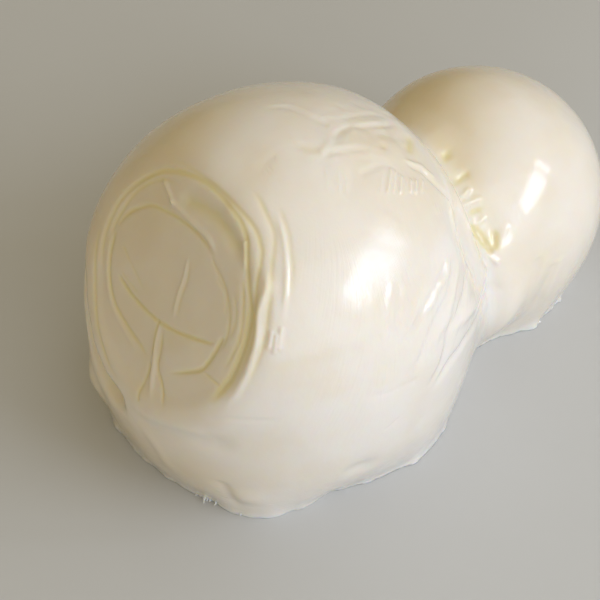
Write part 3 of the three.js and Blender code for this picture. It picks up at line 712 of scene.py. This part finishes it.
def yellowed_and_painted_shade_share(form, points):
    """Where the skin is painted yellower: dried skin and painted shade on the flat end, painted shade on the belly's
    back, its crumpled shoulder, the head and low on the far left, and a yellower tone on the belly's upper front.
    """
    along, _, height = points.T
    flat, proud = form.end_place(points)
    end = END_YELLOWING_AND_SHADE * (1 - ease(19, 27, np.hypot(*flat.T))) * ease(12, 24, proud)

    def patch(middle, most, start, full, way):
        return most * ease(start, full, unit(points - middle) @ unit(np.array(way)))

    belly = [patch(form.middle, *place) * (along < BELLY_ALONG) for place in BELLY_YELLOWING_AND_SHADE.values()]
    head = np.array([form.gap, form.head_aside, form.head_height])
    head = (HEAD_PAINTED_SHADE_ALL_OVER + patch(head, *HEAD_PAINTED_SHADE)) * ease(BELLY_ALONG, NECK_ALONG, along)
    low, spread = LEFT_SHADE_BAND
    left = LEFT_PAINTED_SHADE * bell(height - low, spread) * (1 - ease(*LEFT_SHADE_FADE, along))
    return np.maximum.reduce([end, *belly, head, left])


def crumple_share(bearing, rise):
    """Where the top of the belly is crumpled: towards the neck, above the shoulder."""
    return band(-100, -70, -8, 14, bearing) * band(42, 54, 76, 86, rise)


def fold_share(bearing, rise):
    """Where fine folds hang down the front of the belly from the neck."""
    return band(-112, -96, -50, -36, bearing) * band(-4, 12, 30, 46, rise)


def streak_share(bearing, rise):
    """Where the skin is drawn into hair-fine streaks: all down the front."""
    return band(-128, -104, -52, -34, bearing) * band(-20, 10, 50, 64, rise)


def fold_way(bearing, rise):
    """Coordinates that run across and along the hanging folds, in millimetres."""
    steps = np.diff(FOLD_BEARINGS) * (FOLD_FALLS[1:] + FOLD_FALLS[:-1]) / 2
    across = rise - np.interp(bearing, FOLD_BEARINGS, np.append(0, np.cumsum(steps)))
    lean = np.hypot(1, np.interp(bearing, FOLD_BEARINGS, FOLD_FALLS))
    return np.stack([across / lean, bearing * lean, np.zeros_like(rise)], axis=1) * FOLD_DEGREE


# Nodes

def add(tree, kind, settings=None, **inputs):
    """Adds a node, sets its settings, and gives each input a value or a link. Names use _ for a space."""
    node = tree.nodes.new(kind)
    for name, value in (settings or {}).items():
        setattr(node, name, value)
    for name, value in inputs.items():
        key = int(name[1:]) if name[0] == "i" and name[1:].isdigit() else name.replace("_", " ")
        join(tree, value, node.inputs[key])
    return node


def join(tree, value, socket):
    if isinstance(value, bpy.types.NodeSocket):
        tree.links.new(value, socket)
    else:
        socket.default_value = value


def maths(tree, operation, a, b=0.0, c=0.0):
    return add(tree, "ShaderNodeMath", {"operation": operation}, i0=a, i1=b, i2=c).outputs[0]


def mixed(tree, share, first, second):
    """Colour between the first and the second."""
    return add(tree, "ShaderNodeMix", {"data_type": "RGBA"}, Factor=share, i6=first, i7=second).outputs[2]


def attribute(tree, name, kind="FLOAT"):
    return add(tree, "GeometryNodeInputNamedAttribute", {"data_type": kind}, Name=name).outputs[0]


def scaled(tree, vector, scale):
    return add(tree, "ShaderNodeVectorMath", {"operation": "SCALE"}, Vector=vector, Scale=scale).outputs[0]


def dress(tree, geometry, material, out):
    """Ends a tree: its instances become one mesh, in its material."""
    whole = add(tree, "GeometryNodeRealizeInstances", Geometry=geometry)
    dressed = add(tree, "GeometryNodeSetMaterial", Geometry=whole.outputs[0], Material=material)
    join(tree, dressed.outputs[0], out["Geometry"])


def new_tree(name, kind, inputs, outputs):
    tree = bpy.data.node_groups.new(name, kind)
    for way, sockets in (("INPUT", inputs), ("OUTPUT", outputs)):
        for label, socket, value in sockets:
            made = tree.interface.new_socket(name=label, in_out=way, socket_type=socket)
            if value is not None:
                made.default_value = value
    return tree, tree.nodes.new("NodeGroupInput").outputs, tree.nodes.new("NodeGroupOutput").inputs


def skin_tree():
    """Crumples and hanging folds that follow the skin, raised along its normals."""
    number, shape = "NodeSocketFloat", "NodeSocketGeometry"
    tree, given, out = new_tree("Curd skin", "GeometryNodeTree", [
        ("Geometry", shape, None), ("Crumple Height", number, 0.0), ("Crumple Size", number, 0.005),
        ("Fold Height", number, 0.0), ("Fold Size", number, 2.0), ("Fibre Height", number, 0.0),
        ("Seed", number, 0.0), ("Material", "NodeSocketMaterial", None)], [("Geometry", shape, None)])

    def noise(vector, scale, detail):
        return add(tree, "ShaderNodeTexNoise", {"noise_dimensions": "4D"}, Vector=vector, W=given["Seed"],
                   Scale=scale, Detail=detail, Roughness=0.55).outputs[0]

    where = tree.nodes.new("GeometryNodeInputPosition").outputs[0]
    per_size = maths(tree, "DIVIDE", 1.0, given["Crumple Size"])
    lumps = maths(tree, "MULTIPLY_ADD", noise(where, per_size, 3.0), 2.0, -1.0)
    cells = add(tree, "ShaderNodeTexVoronoi", {"voronoi_dimensions": "4D", "feature": "DISTANCE_TO_EDGE"},
                Vector=where, W=given["Seed"], Scale=maths(tree, "MULTIPLY", per_size, 0.8)).outputs["Distance"]
    facets = add(tree, "ShaderNodeMapRange", {"interpolation_type": "SMOOTHSTEP"}, Value=cells,
                 i1=0.0, i2=0.22, i3=-0.6, i4=0.1).outputs[0]
    crumple = maths(tree, "MULTIPLY", maths(tree, "ADD", lumps, facets),
                    maths(tree, "MULTIPLY", attribute(tree, "crumple"), given["Crumple Height"]))
    hang = add(tree, "ShaderNodeVectorMath", {"operation": "MULTIPLY"},
               i0=attribute(tree, "fold_way", "FLOAT_VECTOR"), i1=(1.0, 0.14, 1.0)).outputs[0]
    streaks = noise(hang, maths(tree, "DIVIDE", 1.0, given["Fold Size"]), 2.0)
    peaks = maths(tree, "MULTIPLY_ADD", maths(tree, "ABSOLUTE", maths(tree, "SUBTRACT", streaks, 0.5)), -4.0, 0.5)
    fold = maths(tree, "MULTIPLY", peaks, maths(tree, "MULTIPLY", attribute(tree, "fold"), given["Fold Height"]))
    fibres = maths(tree, "MULTIPLY", maths(tree, "SUBTRACT", noise(where, 110.0, 0.0), 0.5), given["Fibre Height"])
    height = maths(tree, "ADD", maths(tree, "ADD", crumple, fold), fibres)
    lift = scaled(tree, tree.nodes.new("GeometryNodeInputNormal").outputs[0], height)
    above = add(tree, "FunctionNodeCompare", {"data_type": "FLOAT", "operation": "GREATER_THAN"},
                i0=add(tree, "ShaderNodeSeparateXYZ", Vector=where).outputs["Z"], i1=FOOT_CLEARANCE).outputs[0]
    moved = add(tree, "GeometryNodeSetPosition", Geometry=given["Geometry"], Selection=above, Offset=lift)
    dress(tree, moved.outputs[0], given["Material"], out)
    return tree


def nib_tree():
    """Small torn nibs of curd set along the foot's edge where it is ragged."""
    number, shape = "NodeSocketFloat", "NodeSocketGeometry"
    tree, given, out = new_tree("Torn nibs", "GeometryNodeTree", [
        ("Geometry", shape, None), ("Spacing", number, 0.001), ("Nib Size", number, 0.0006),
        ("Seed", "NodeSocketInt", 0), ("Material", "NodeSocketMaterial", None)], [("Geometry", shape, None)])

    def chance(kind, low, high, salt):
        node = add(tree, "FunctionNodeRandomValue", {"data_type": kind},
                   Seed=maths(tree, "ADD", given["Seed"], float(salt)))
        at = 0 if kind == "FLOAT_VECTOR" else 2
        join(tree, low, node.inputs[at])
        join(tree, high, node.inputs[at + 1])
        return node.outputs[0 if kind == "FLOAT_VECTOR" else 1]

    edge = add(tree, "GeometryNodeMeshToCurve", Mesh=given["Geometry"])
    spots = add(tree, "GeometryNodeCurveToPoints", {"mode": "LENGTH"}, Curve=edge.outputs[0], Length=given["Spacing"])
    kept = add(tree, "FunctionNodeCompare", {"data_type": "FLOAT", "operation": "LESS_THAN"},
               i0=chance("FLOAT", 0.0, 1.0, 1), i1=attribute(tree, "ragged")).outputs[0]
    length = maths(tree, "MULTIPLY", given["Nib Size"], NIB_LENGTH)
    cone = add(tree, "GeometryNodeMeshCone", Vertices=7, Side_Segments=5, Radius_Top=0.00006,
               Radius_Bottom=given["Nib Size"], Depth=length)
    rough = add(tree, "ShaderNodeTexNoise", {"noise_dimensions": "3D"}, Scale=1100.0, Detail=1.0).outputs[1]
    push = add(tree, "ShaderNodeVectorMath", {"operation": "SUBTRACT"}, i0=rough, i1=(0.5, 0.5, 0.5)).outputs[0]
    lift = scaled(tree, push, maths(tree, "MULTIPLY", given["Nib Size"], NIB_ROUGHNESS))
    nib = add(tree, "GeometryNodeSetPosition", Geometry=cone.outputs[0], Offset=lift)
    strayed = add(tree, "ShaderNodeVectorMath", {"operation": "ADD"}, i0=attribute(tree, "outwards", "FLOAT_VECTOR"),
                  i1=chance("FLOAT_VECTOR", (-0.6, -0.6, -0.3), (0.6, 0.6, 0.15), 2)).outputs[0]
    turned = add(tree, "FunctionNodeAlignRotationToVector", {"axis": "Z"}, Vector=strayed)
    set_down = add(tree, "GeometryNodeInstanceOnPoints", Points=spots.outputs[0], Selection=kept,
                   Instance=nib.outputs[0], Rotation=turned.outputs[0],
                   Scale=chance("FLOAT_VECTOR", (0.5, 0.5, 0.4), (1.1, 1.1, 1.15), 3))
    dress(tree, set_down.outputs[0], given["Material"], out)
    return tree


def mottling_group():
    """Colour, roughness and fine height of fresh curd: soft blotches and a pored skin."""
    name = "Curd mottling"
    if name in bpy.data.node_groups:
        return bpy.data.node_groups[name]
    number, colour = "NodeSocketFloat", "NodeSocketColor"
    tree, given, out = new_tree(name, "ShaderNodeTree", [
        ("Vector", "NodeSocketVector", None), ("Curd", colour, None), ("Yellowed", colour, None),
        ("Blotches", number, 0.3), ("Roughness", number, 0.3), ("Roughness Spread", number, 0.1)],
        [("Color", colour, None), ("Roughness", number, None), ("Height", number, None)])

    def noise(scale, detail, stretch=None):
        vector = given["Vector"]
        if stretch:
            vector = add(tree, "ShaderNodeMapping", Vector=vector, Scale=stretch).outputs[0]
        return add(tree, "ShaderNodeTexNoise", Vector=vector, Scale=scale, Detail=detail, Roughness=0.6).outputs[0]

    blotch = add(tree, "ShaderNodeMapRange", {"interpolation_type": "SMOOTHSTEP"}, Value=noise(70.0, 3.0),
                 i1=0.35, i2=0.72, i3=0.0, i4=given["Blotches"]).outputs[0]
    spread = maths(tree, "MULTIPLY", maths(tree, "SUBTRACT", noise(420.0, 3.0), 0.5), given["Roughness Spread"])
    join(tree, mixed(tree, blotch, given["Curd"], given["Yellowed"]), out["Color"])
    join(tree, maths(tree, "MULTIPLY_ADD", spread, 2.0, given["Roughness"]), out["Roughness"])
    pores = maths(tree, "MULTIPLY", noise(900.0, 2.0), 0.35)
    join(tree, maths(tree, "ADD", pores, noise(340.0, 3.0, (1.0, 1.0, 0.45))), out["Height"])
    return tree


def streak_bump(tree, normal, strength):
    """Hair-fine streaks that run with the hanging folds."""
    way = add(tree, "ShaderNodeAttribute", {"attribute_name": "fold_way"}).outputs["Vector"]
    share = add(tree, "ShaderNodeAttribute", {"attribute_name": "streaks"}).outputs["Fac"]
    drawn = add(tree, "ShaderNodeMapping", Vector=way, Scale=(1.0, 0.07, 1.0)).outputs[0]
    streaks = add(tree, "ShaderNodeTexNoise", Vector=drawn, Scale=1.3, Detail=2.0, Roughness=0.55).outputs[0]
    return add(tree, "ShaderNodeBump", Strength=maths(tree, "MULTIPLY", share, strength), Distance=0.0005,
               Height=streaks, Normal=normal)


def curd_material(name, finish, torn):
    """Fresh curd. The skin is painted yellower where it dried and as painted shade, tinted yellow in its grooves with
    painted shade in the deeper folds, and paler along its lip as a painted glow; torn curd is paler and duller.
    """
    material = bpy.data.materials.new(name)
    material.use_nodes = True
    tree = material.node_tree
    shader = tree.nodes["Principled BSDF"]
    where = tree.nodes.new("ShaderNodeTexCoord").outputs["Object"]
    mottling = add(tree, "ShaderNodeGroup", {"node_tree": mottling_group()}, Vector=where,
                   Curd=(*(finish.torn_curd_and_lip_glow_colour if torn else finish.curd_colour), 1.0),
                   Yellowed=(*finish.yellowed_and_shade_colour, 1.0), Blotches=TORN_BLOTCHES if torn else finish.blotches,
                   Roughness=finish.roughness + (TORN_DULLNESS if torn else 0.0),
                   Roughness_Spread=finish.roughness_spread)
    colour = mottling.outputs["Color"]
    if not torn:
        # Mixed into the colour: yellowing that is dried skin and painted shade, grooves tinted yellow with painted
        # shade in the deeper folds, and a painted glow along the lip
        for label, tone, most in (("aged", finish.yellowed_and_shade_colour, finish.yellowing_and_shade_amount),
                                  ("groove", finish.groove_and_shade_colour, finish.groove_and_shade_tint),
                                  ("rim", finish.torn_curd_and_lip_glow_colour, finish.lip_glow_tint)):
            mask = add(tree, "ShaderNodeAttribute", {"attribute_name": label}).outputs["Fac"]
            colour = mixed(tree, maths(tree, "MULTIPLY", mask, most), colour, (*tone, 1.0))
    join(tree, colour, shader.inputs["Base Color"])
    join(tree, mottling.outputs["Roughness"], shader.inputs["Roughness"])
    bump = add(tree, "ShaderNodeBump", Strength=TORN_PORES if torn else finish.pore_strength, Distance=0.0004,
               Height=mottling.outputs["Height"])
    if not torn:
        bump = streak_bump(tree, bump.outputs[0], finish.streak_strength)
    join(tree, bump.outputs[0], shader.inputs["Normal"])
    shader.inputs["IOR"].default_value = 1.44
    shader.inputs["Subsurface Weight"].default_value = finish.milkiness
    shader.inputs["Subsurface Radius"].default_value = (1.0, 0.72, 0.42)
    shader.inputs["Subsurface Scale"].default_value = finish.milk_depth
    shader.inputs["Coat Weight"].default_value = 0.0 if torn else finish.moisture
    shader.inputs["Coat Roughness"].default_value = 0.09
    shader.inputs["Coat IOR"].default_value = 1.36
    return material


# Meshes and pieces

def new_object(name, points, faces, edges=(), values=None):
    mesh = bpy.data.meshes.new(name)
    mesh.from_pydata(np.asarray(points).tolist(), list(edges), np.asarray(faces).tolist(), False)
    for label, data in (values or {}).items():
        kind, field = ("FLOAT", "value") if data.ndim == 1 else ("FLOAT_VECTOR", "vector")
        mesh.attributes.new(label, kind, "POINT").data.foreach_set(field, data.astype(np.float32).ravel())
    piece = bpy.data.objects.new(name, mesh)
    bpy.context.scene.collection.objects.link(piece)
    return piece


def run_tree(piece, tree, **inputs):
    """Runs a tree of nodes on a piece and keeps the result as its plain mesh."""
    modifier = piece.modifiers.new(tree.name, "NODES")
    modifier.node_group = tree
    sockets = {s.name: s.identifier for s in tree.interface.items_tree if s.in_out == "INPUT"}
    for label, value in inputs.items():
        modifier[sockets[label.replace("_", " ")]] = value
    graph = bpy.context.evaluated_depsgraph_get()
    made = bpy.data.meshes.new_from_object(piece.evaluated_get(graph), preserve_all_data_layers=True, depsgraph=graph)
    piece.modifiers.clear()
    old, piece.data = piece.data, made
    made.name = piece.name
    bpy.data.meshes.remove(old)
    if not len(made.polygons):
        raise RuntimeError(f"{piece.name} came out empty")


def rides(piece):
    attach(piece, BODY)


class ScamorzaForm(bpy.types.PropertyGroup):
    """Sizes of the cheese and of its folds"""

    belly_radius: FloatProperty(name="Belly Radius", description="Half width of the round belly", default=0.037,
                                min=0.01, unit="LENGTH", precision=4)
    belly_height: FloatProperty(name="Belly Height", description="Height of the belly's widest line above the foot",
                                default=0.0335, min=0.01, unit="LENGTH", precision=4)
    shoulder_reach: FloatProperty(name="Shoulder Reach", description="Reach of the belly's oval towards the neck",
                                  default=0.041, min=0.01, unit="LENGTH", precision=4)
    head_radius: FloatProperty(name="Head Radius", description="Half width of the head", default=0.0264, min=0.005,
                               unit="LENGTH", precision=4)
    head_height: FloatProperty(name="Head Height", description="Height of the head's middle above the foot",
                               default=0.024, min=0.005, unit="LENGTH", precision=4)
    head_aside: FloatProperty(name="Head Aside", description="How far the head lies off the belly's middle line",
                              default=0.0014, unit="LENGTH", precision=4)
    head_distance: FloatProperty(name="Head Distance", description="From the belly's middle to the head's middle",
                                 default=0.053, min=0.02, unit="LENGTH", precision=4)
    end_depth: FloatProperty(name="End Depth", description="From the belly's middle to the flat pressed end",
                             default=0.029, min=0.01, unit="LENGTH", precision=4)
    end_lean: FloatProperty(name="End Lean", description="How far the flat end leans back",
                            default=math.radians(28.5), unit="ROTATION")
    lip: FloatProperty(name="Lip", description="How far the foot's thin lip stands out", default=0.0010, min=0.0,
                       unit="LENGTH", precision=5)
    lip_waviness: FloatProperty(name="Lip Waviness", description="Height of the waves along the lip",
                                default=0.00014, min=0.0, unit="LENGTH", precision=5)
    fold_depth: FloatProperty(name="Fold Depth", description="Depth of the drawn grooves and ridges", default=1.0,
                              min=0.0, max=2.0, subtype="FACTOR")
    crumple_height: FloatProperty(name="Crumple Height", description="Height of the crumples on the top",
                                  default=0.00015, min=0.0, unit="LENGTH", precision=5)
    crumple_size: FloatProperty(name="Crumple Size", description="Size of one crumple", default=0.006, min=0.001,
                                unit="LENGTH", precision=4)
    hang_height: FloatProperty(name="Hanging Fold Height", description="Height of the fine folds on the front",
                               default=0.00011, min=0.0, unit="LENGTH", precision=5)
    fibre_height: FloatProperty(name="Fibre Height", description="Height of the faint waves all over the skin",
                                default=0.00030, min=0.0, unit="LENGTH", precision=5)
    nib_size: FloatProperty(name="Nib Size", description="Radius of a torn nib on the foot's edge", default=0.00055,
                            min=0.0001, unit="LENGTH", precision=5)
    nib_spacing: FloatProperty(name="Nib Spacing", description="From one place for a nib to the next",
                               default=0.0007, min=0.0002, unit="LENGTH", precision=5)
    seed: IntProperty(name="Seed", description="Which of the many like patterns of folds is made", default=7, min=0)


class ScamorzaFinish(bpy.types.PropertyGroup):
    """Colours and gloss of the curd"""

    curd_colour: FloatVectorProperty(name="Curd", description="Fresh ivory curd", subtype="COLOR", size=3,
                                     default=(0.845, 0.80, 0.745), min=0.0, max=1.0)
    # Also the colour of the painted shade on the sides away from the lights, besides the random blotches
    yellowed_and_shade_colour: FloatVectorProperty(name="Yellowed", description="Blotches where the skin has yellowed",
                                         subtype="COLOR", size=3, default=(0.73, 0.59, 0.335), min=0.0, max=1.0)
    # Colour of the tinted grooves: yellowed lines, and painted shade in the deeper folds and the neck's pinch
    groove_and_shade_colour: FloatVectorProperty(name="Grooves", description="Deep in the grooves", subtype="COLOR", size=3,
                                       default=(0.80, 0.70, 0.36), min=0.0, max=1.0)
    # Colour of the torn nibs, and also of the painted glow along the foot's thin lip
    torn_curd_and_lip_glow_colour: FloatVectorProperty(name="Torn Curd", description="Paler curd along the torn edge",
                                     subtype="COLOR", size=3, default=(0.89, 0.87, 0.83), min=0.0, max=1.0)
    blotches: FloatProperty(name="Blotches", description="Strength of the yellowed blotches", default=0.2, min=0.0,
                            max=1.0, subtype="FACTOR")
    # How strongly the painted yellowing shows: dried skin on the flat end, painted shade on the belly, head and far
    # left
    yellowing_and_shade_amount: FloatProperty(name="Ageing", description="How far the dried skin has yellowed", default=1.0, min=0.0,
                          max=1.0, subtype="FACTOR")
    # Strength of that groove tint, for the yellowed lines and the painted shade alike
    groove_and_shade_tint: FloatProperty(name="Groove Tint", description="Strength of the colour in the grooves", default=0.7,
                               min=0.0, max=1.0, subtype="FACTOR")
    # Strength of the painted glow along the lip
    lip_glow_tint: FloatProperty(name="Rim Tint", description="Strength of the paler lip", default=0.6, min=0.0, max=1.0,
                            subtype="FACTOR")
    roughness: FloatProperty(name="Roughness", description="Roughness of the moist skin", default=0.17, min=0.0,
                             max=1.0, subtype="FACTOR")
    roughness_spread: FloatProperty(name="Roughness Spread", description="How much the roughness changes",
                                    default=0.1, min=0.0, max=1.0, subtype="FACTOR")
    moisture: FloatProperty(name="Moisture", description="Strength of the film of whey on the skin", default=0.35,
                            min=0.0, max=1.0, subtype="FACTOR")
    milkiness: FloatProperty(name="Milkiness", description="How much light goes into the curd", default=0.75,
                             min=0.0, max=1.0, subtype="FACTOR")
    milk_depth: FloatProperty(name="Milk Depth", description="How far light goes into the curd", default=0.0016,
                              min=0.0, unit="LENGTH", precision=5)
    streak_strength: FloatProperty(name="Streak Strength", description="Strength of the hair-fine streaks",
                                   default=0.12, min=0.0, max=1.0, subtype="FACTOR")
    pore_strength: FloatProperty(name="Pore Strength", description="Strength of the skin's finest relief",
                                 default=0.12, min=0.0, max=1.0, subtype="FACTOR")


class ScamorzaStage(bpy.types.PropertyGroup):
    """Floor, light and camera"""

    floor_colour: FloatVectorProperty(name="Floor", description="Plain pale floor", subtype="COLOR", size=3,
                                      default=(0.55, 0.55, 0.54), min=0.0, max=1.0)
    window_power: FloatProperty(name="Window Power", description="Power of the window light", default=1.85,
                                min=0.0, unit="POWER")
    front_power: FloatProperty(name="Front Power", description="Power of the soft light on the front", default=4.7,
                               min=0.0, unit="POWER")
    top_power: FloatProperty(name="Top Power", description="Power of the soft light from above", default=1.8,
                             min=0.0, unit="POWER")
    back_power: FloatProperty(name="Back Power", description="Power of the light behind the head", default=0.4,
                              min=0.0, unit="POWER")
    daylight: FloatVectorProperty(name="Daylight", description="Colour of the lights", subtype="COLOR", size=3,
                                  default=(0.77, 0.85, 1.0), min=0.0, max=1.0)
    surround: FloatVectorProperty(name="Surround", description="Even light from all round", subtype="COLOR", size=3,
                                  default=(0.36, 0.288, 0.14), min=0.0, max=4.0)
    camera_bearing: FloatProperty(name="Camera Bearing", description="Turn of the camera round the cheese",
                                  default=math.radians(-38.8), unit="ROTATION")
    camera_height: FloatProperty(name="Camera Height", description="Angle of the camera above the floor",
                                 default=math.radians(47), unit="ROTATION")
    camera_distance: FloatProperty(name="Camera Distance", description="From the camera to what it looks at",
                                   default=0.3232, min=0.05, unit="LENGTH", precision=4)
    camera_view: FloatProperty(name="Camera View", description="Angle that the camera takes in",
                               default=math.radians(20), unit="ROTATION")


class SCAMORZA_OT_cheese(bpy.types.Operator):
    """Make the cheese: belly, neck, head, flat end and every fold of the skin, as one piece"""

    bl_idname = "scamorza.cheese"
    bl_label = "Cheese"

    def execute(self, context):
        sizes, finish = context.scene.scamorza_form, context.scene.scamorza_finish
        form = Form(sizes)
        points, faces, values, on_edge = skin(form)
        piece = new_object("scamorza_skin", (points + form.place) * MM, faces, values=values)
        mesh = piece.data
        ends = np.zeros(len(mesh.edges) * 2, np.int32)
        mesh.edges.foreach_get("vertices", ends)
        sharp = on_edge[ends.reshape(-1, 2)].all(1)
        mesh.attributes.new("sharp_edge", "BOOLEAN", "EDGE").data.foreach_set("value", sharp)
        run_tree(piece, skin_tree(), Crumple_Height=sizes.crumple_height, Crumple_Size=sizes.crumple_size,
                 Fold_Height=sizes.hang_height, Fold_Size=HANG_SIZE, Fibre_Height=sizes.fibre_height,
                 Seed=float(sizes.seed), Material=curd_material("Ivory curd skin", finish, torn=False))
        rides(piece)
        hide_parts(NODE)
        return {"FINISHED"}


class SCAMORZA_OT_nibs(bpy.types.Operator):
    """Make the torn nibs of curd along the foot's edge"""

    bl_idname = "scamorza.nibs"
    bl_label = "Torn Nibs"

    def execute(self, context):
        sizes, finish = context.scene.scamorza_form, context.scene.scamorza_finish
        form = Form(sizes)
        way = np.arange(0, FOOT_WAYS[-1], NIB_STEP)
        spine = np.interp(way, FOOT_WAYS, FOOT_SPINE * form.gap)
        turn = np.radians(np.interp(way, FOOT_WAYS, FOOT_BEARINGS))
        outwards = np.stack([np.cos(turn), np.sin(turn), 0 * turn], axis=1)
        points = outwards * (form.foot_reach(way) + form.lip_wave(way) - NIB_INSET)[:, None]
        points[:, 0] += spine
        points[:, 1] += form.head_aside * form.bend(points[:, 0])
        points[:, 2] = NIB_HEIGHT
        here = np.arange(len(way))
        edges = np.stack([here, np.roll(here, -1)], axis=1)
        ragged = sum(share * bell(way - middle, spread) for share, middle, spread in NIB_CROWDS)
        piece = new_object("torn_nibs", (points + form.place) * MM, np.empty((0, 3), int), edges.tolist(),
                           {"ragged": ragged, "outwards": outwards})
        run_tree(piece, nib_tree(), Spacing=sizes.nib_spacing, Nib_Size=sizes.nib_size, Seed=sizes.seed,
                 Material=curd_material("Torn curd", finish, torn=True))
        piece.data.shade_smooth()
        rides(piece)
        return {"FINISHED"}


class SCAMORZA_OT_stage(bpy.types.Operator):
    """Make the floor, the lights and the camera"""

    bl_idname = "scamorza.stage"
    bl_label = "Stage"

    def execute(self, context):
        stage = context.scene.scamorza_stage
        scene = context.scene
        form = Form(scene.scamorza_form)
        self.floor(stage)
        belly = Vector((form.place + form.middle) * MM)
        powers = (stage.window_power, stage.window_power * PANE_SHARE, stage.front_power, stage.top_power,
                  stage.back_power)
        for (name, place), power in zip(LIGHTS.items(), powers):
            self.light(name, belly, power, stage.daylight, *place)
        world = scene.world or bpy.data.worlds.new("Surround")
        scene.world = world
        world.use_nodes = True
        world.node_tree.nodes["Background"].inputs["Color"].default_value = (*stage.surround, 1.0)
        self.camera(scene, stage, belly)
        scene.view_settings.view_transform = "Standard"
        return {"FINISHED"}

    def floor(self, stage):
        corners = [(x * FLOOR_HALF, y * FLOOR_HALF, 0) for x, y in ((-1, -1), (1, -1), (1, 1), (-1, 1))]
        floor = new_object("floor", corners, [(0, 1, 2, 3)])
        paint = bpy.data.materials.new("Pale floor")
        paint.use_nodes = True
        tree = paint.node_tree
        where = tree.nodes.new("ShaderNodeTexCoord").outputs["Object"]
        grain = add(tree, "ShaderNodeTexNoise", Vector=where, Scale=40.0, Detail=4.0)
        tone = Vector(stage.floor_colour)
        darker, paler = ((*(tone * (1 + change)), 1.0) for change in (-FLOOR_GRAIN, FLOOR_GRAIN))
        shader = tree.nodes["Principled BSDF"]
        join(tree, mixed(tree, grain.outputs[0], darker, paler), shader.inputs["Base Color"])
        shader.inputs["Roughness"].default_value = 0.85
        floor.data.materials.append(paint)

    def light(self, name, aim, power, colour, bearing, rise, distance, size, roll):
        lamp = bpy.data.lights.new(name, "AREA")
        lamp.shape = "RECTANGLE"
        lamp.size, lamp.size_y = size
        lamp.energy = power
        lamp.color = colour
        holder = bpy.data.objects.new(name, lamp)
        bpy.context.scene.collection.objects.link(holder)
        turn, lift = math.radians(bearing), math.radians(rise)
        out = Vector((math.cos(lift) * math.cos(turn), math.cos(lift) * math.sin(turn), math.sin(lift)))
        holder.location = aim + out * distance
        facing = (-out).to_track_quat("-Z", "Y") @ Quaternion((0, 0, 1), math.radians(roll))
        holder.rotation_euler = facing.to_euler()

    def camera(self, scene, stage, belly):
        turn, lift = stage.camera_bearing, stage.camera_height
        back = Vector((math.sin(turn) * math.cos(lift), -math.cos(turn) * math.cos(lift), math.sin(lift)))
        right = Vector((math.cos(turn), math.sin(turn), 0))
        up = back.cross(right)
        data = bpy.data.cameras.new("Camera")
        data.angle = stage.camera_view
        data.clip_start = 0.01
        camera = bpy.data.objects.new("Camera", data)
        scene.collection.objects.link(camera)
        camera.location = belly + right * AIM_RIGHT - up * AIM_DOWN + back * stage.camera_distance
        camera.rotation_euler = Matrix((right, up, back)).transposed().to_euler()
        scene.camera = camera


class SCAMORZA_PT_panel(bpy.types.Panel):
    """Sizes, finish and stage of the cheese"""

    bl_idname = "SCAMORZA_PT_panel"
    bl_label = "Scamorza"
    bl_space_type = "VIEW_3D"
    bl_region_type = "UI"
    bl_category = "Scamorza"

    def draw(self, context):
        scene = context.scene
        for operators, group in ((("cheese", "nibs"), scene.scamorza_form), ((), scene.scamorza_finish),
                                 (("stage",), scene.scamorza_stage)):
            box = self.layout.box()
            box.label(text=group.__doc__)
            for name in group.__annotations__:
                box.prop(group, name)
            for name in operators:
                box.operator(f"scamorza.{name}")


CLASSES = (ScamorzaForm, ScamorzaFinish, ScamorzaStage, SCAMORZA_OT_cheese, SCAMORZA_OT_nibs, SCAMORZA_OT_stage,
           SCAMORZA_PT_panel)
GROUPS = {"scamorza_form": ScamorzaForm, "scamorza_finish": ScamorzaFinish, "scamorza_stage": ScamorzaStage}


def register():
    for kind in CLASSES:
        bpy.utils.register_class(kind)
    for name, group in GROUPS.items():
        setattr(bpy.types.Scene, name, PointerProperty(type=group))


def unregister():
    for name in GROUPS:
        delattr(bpy.types.Scene, name)
    for kind in reversed(CLASSES):
        bpy.utils.unregister_class(kind)


def main():
    register()
    bpy.ops.scamorza.cheese()
    bpy.ops.scamorza.nibs()
    bpy.ops.scamorza.stage()


if __name__ == "__main__":
    main()
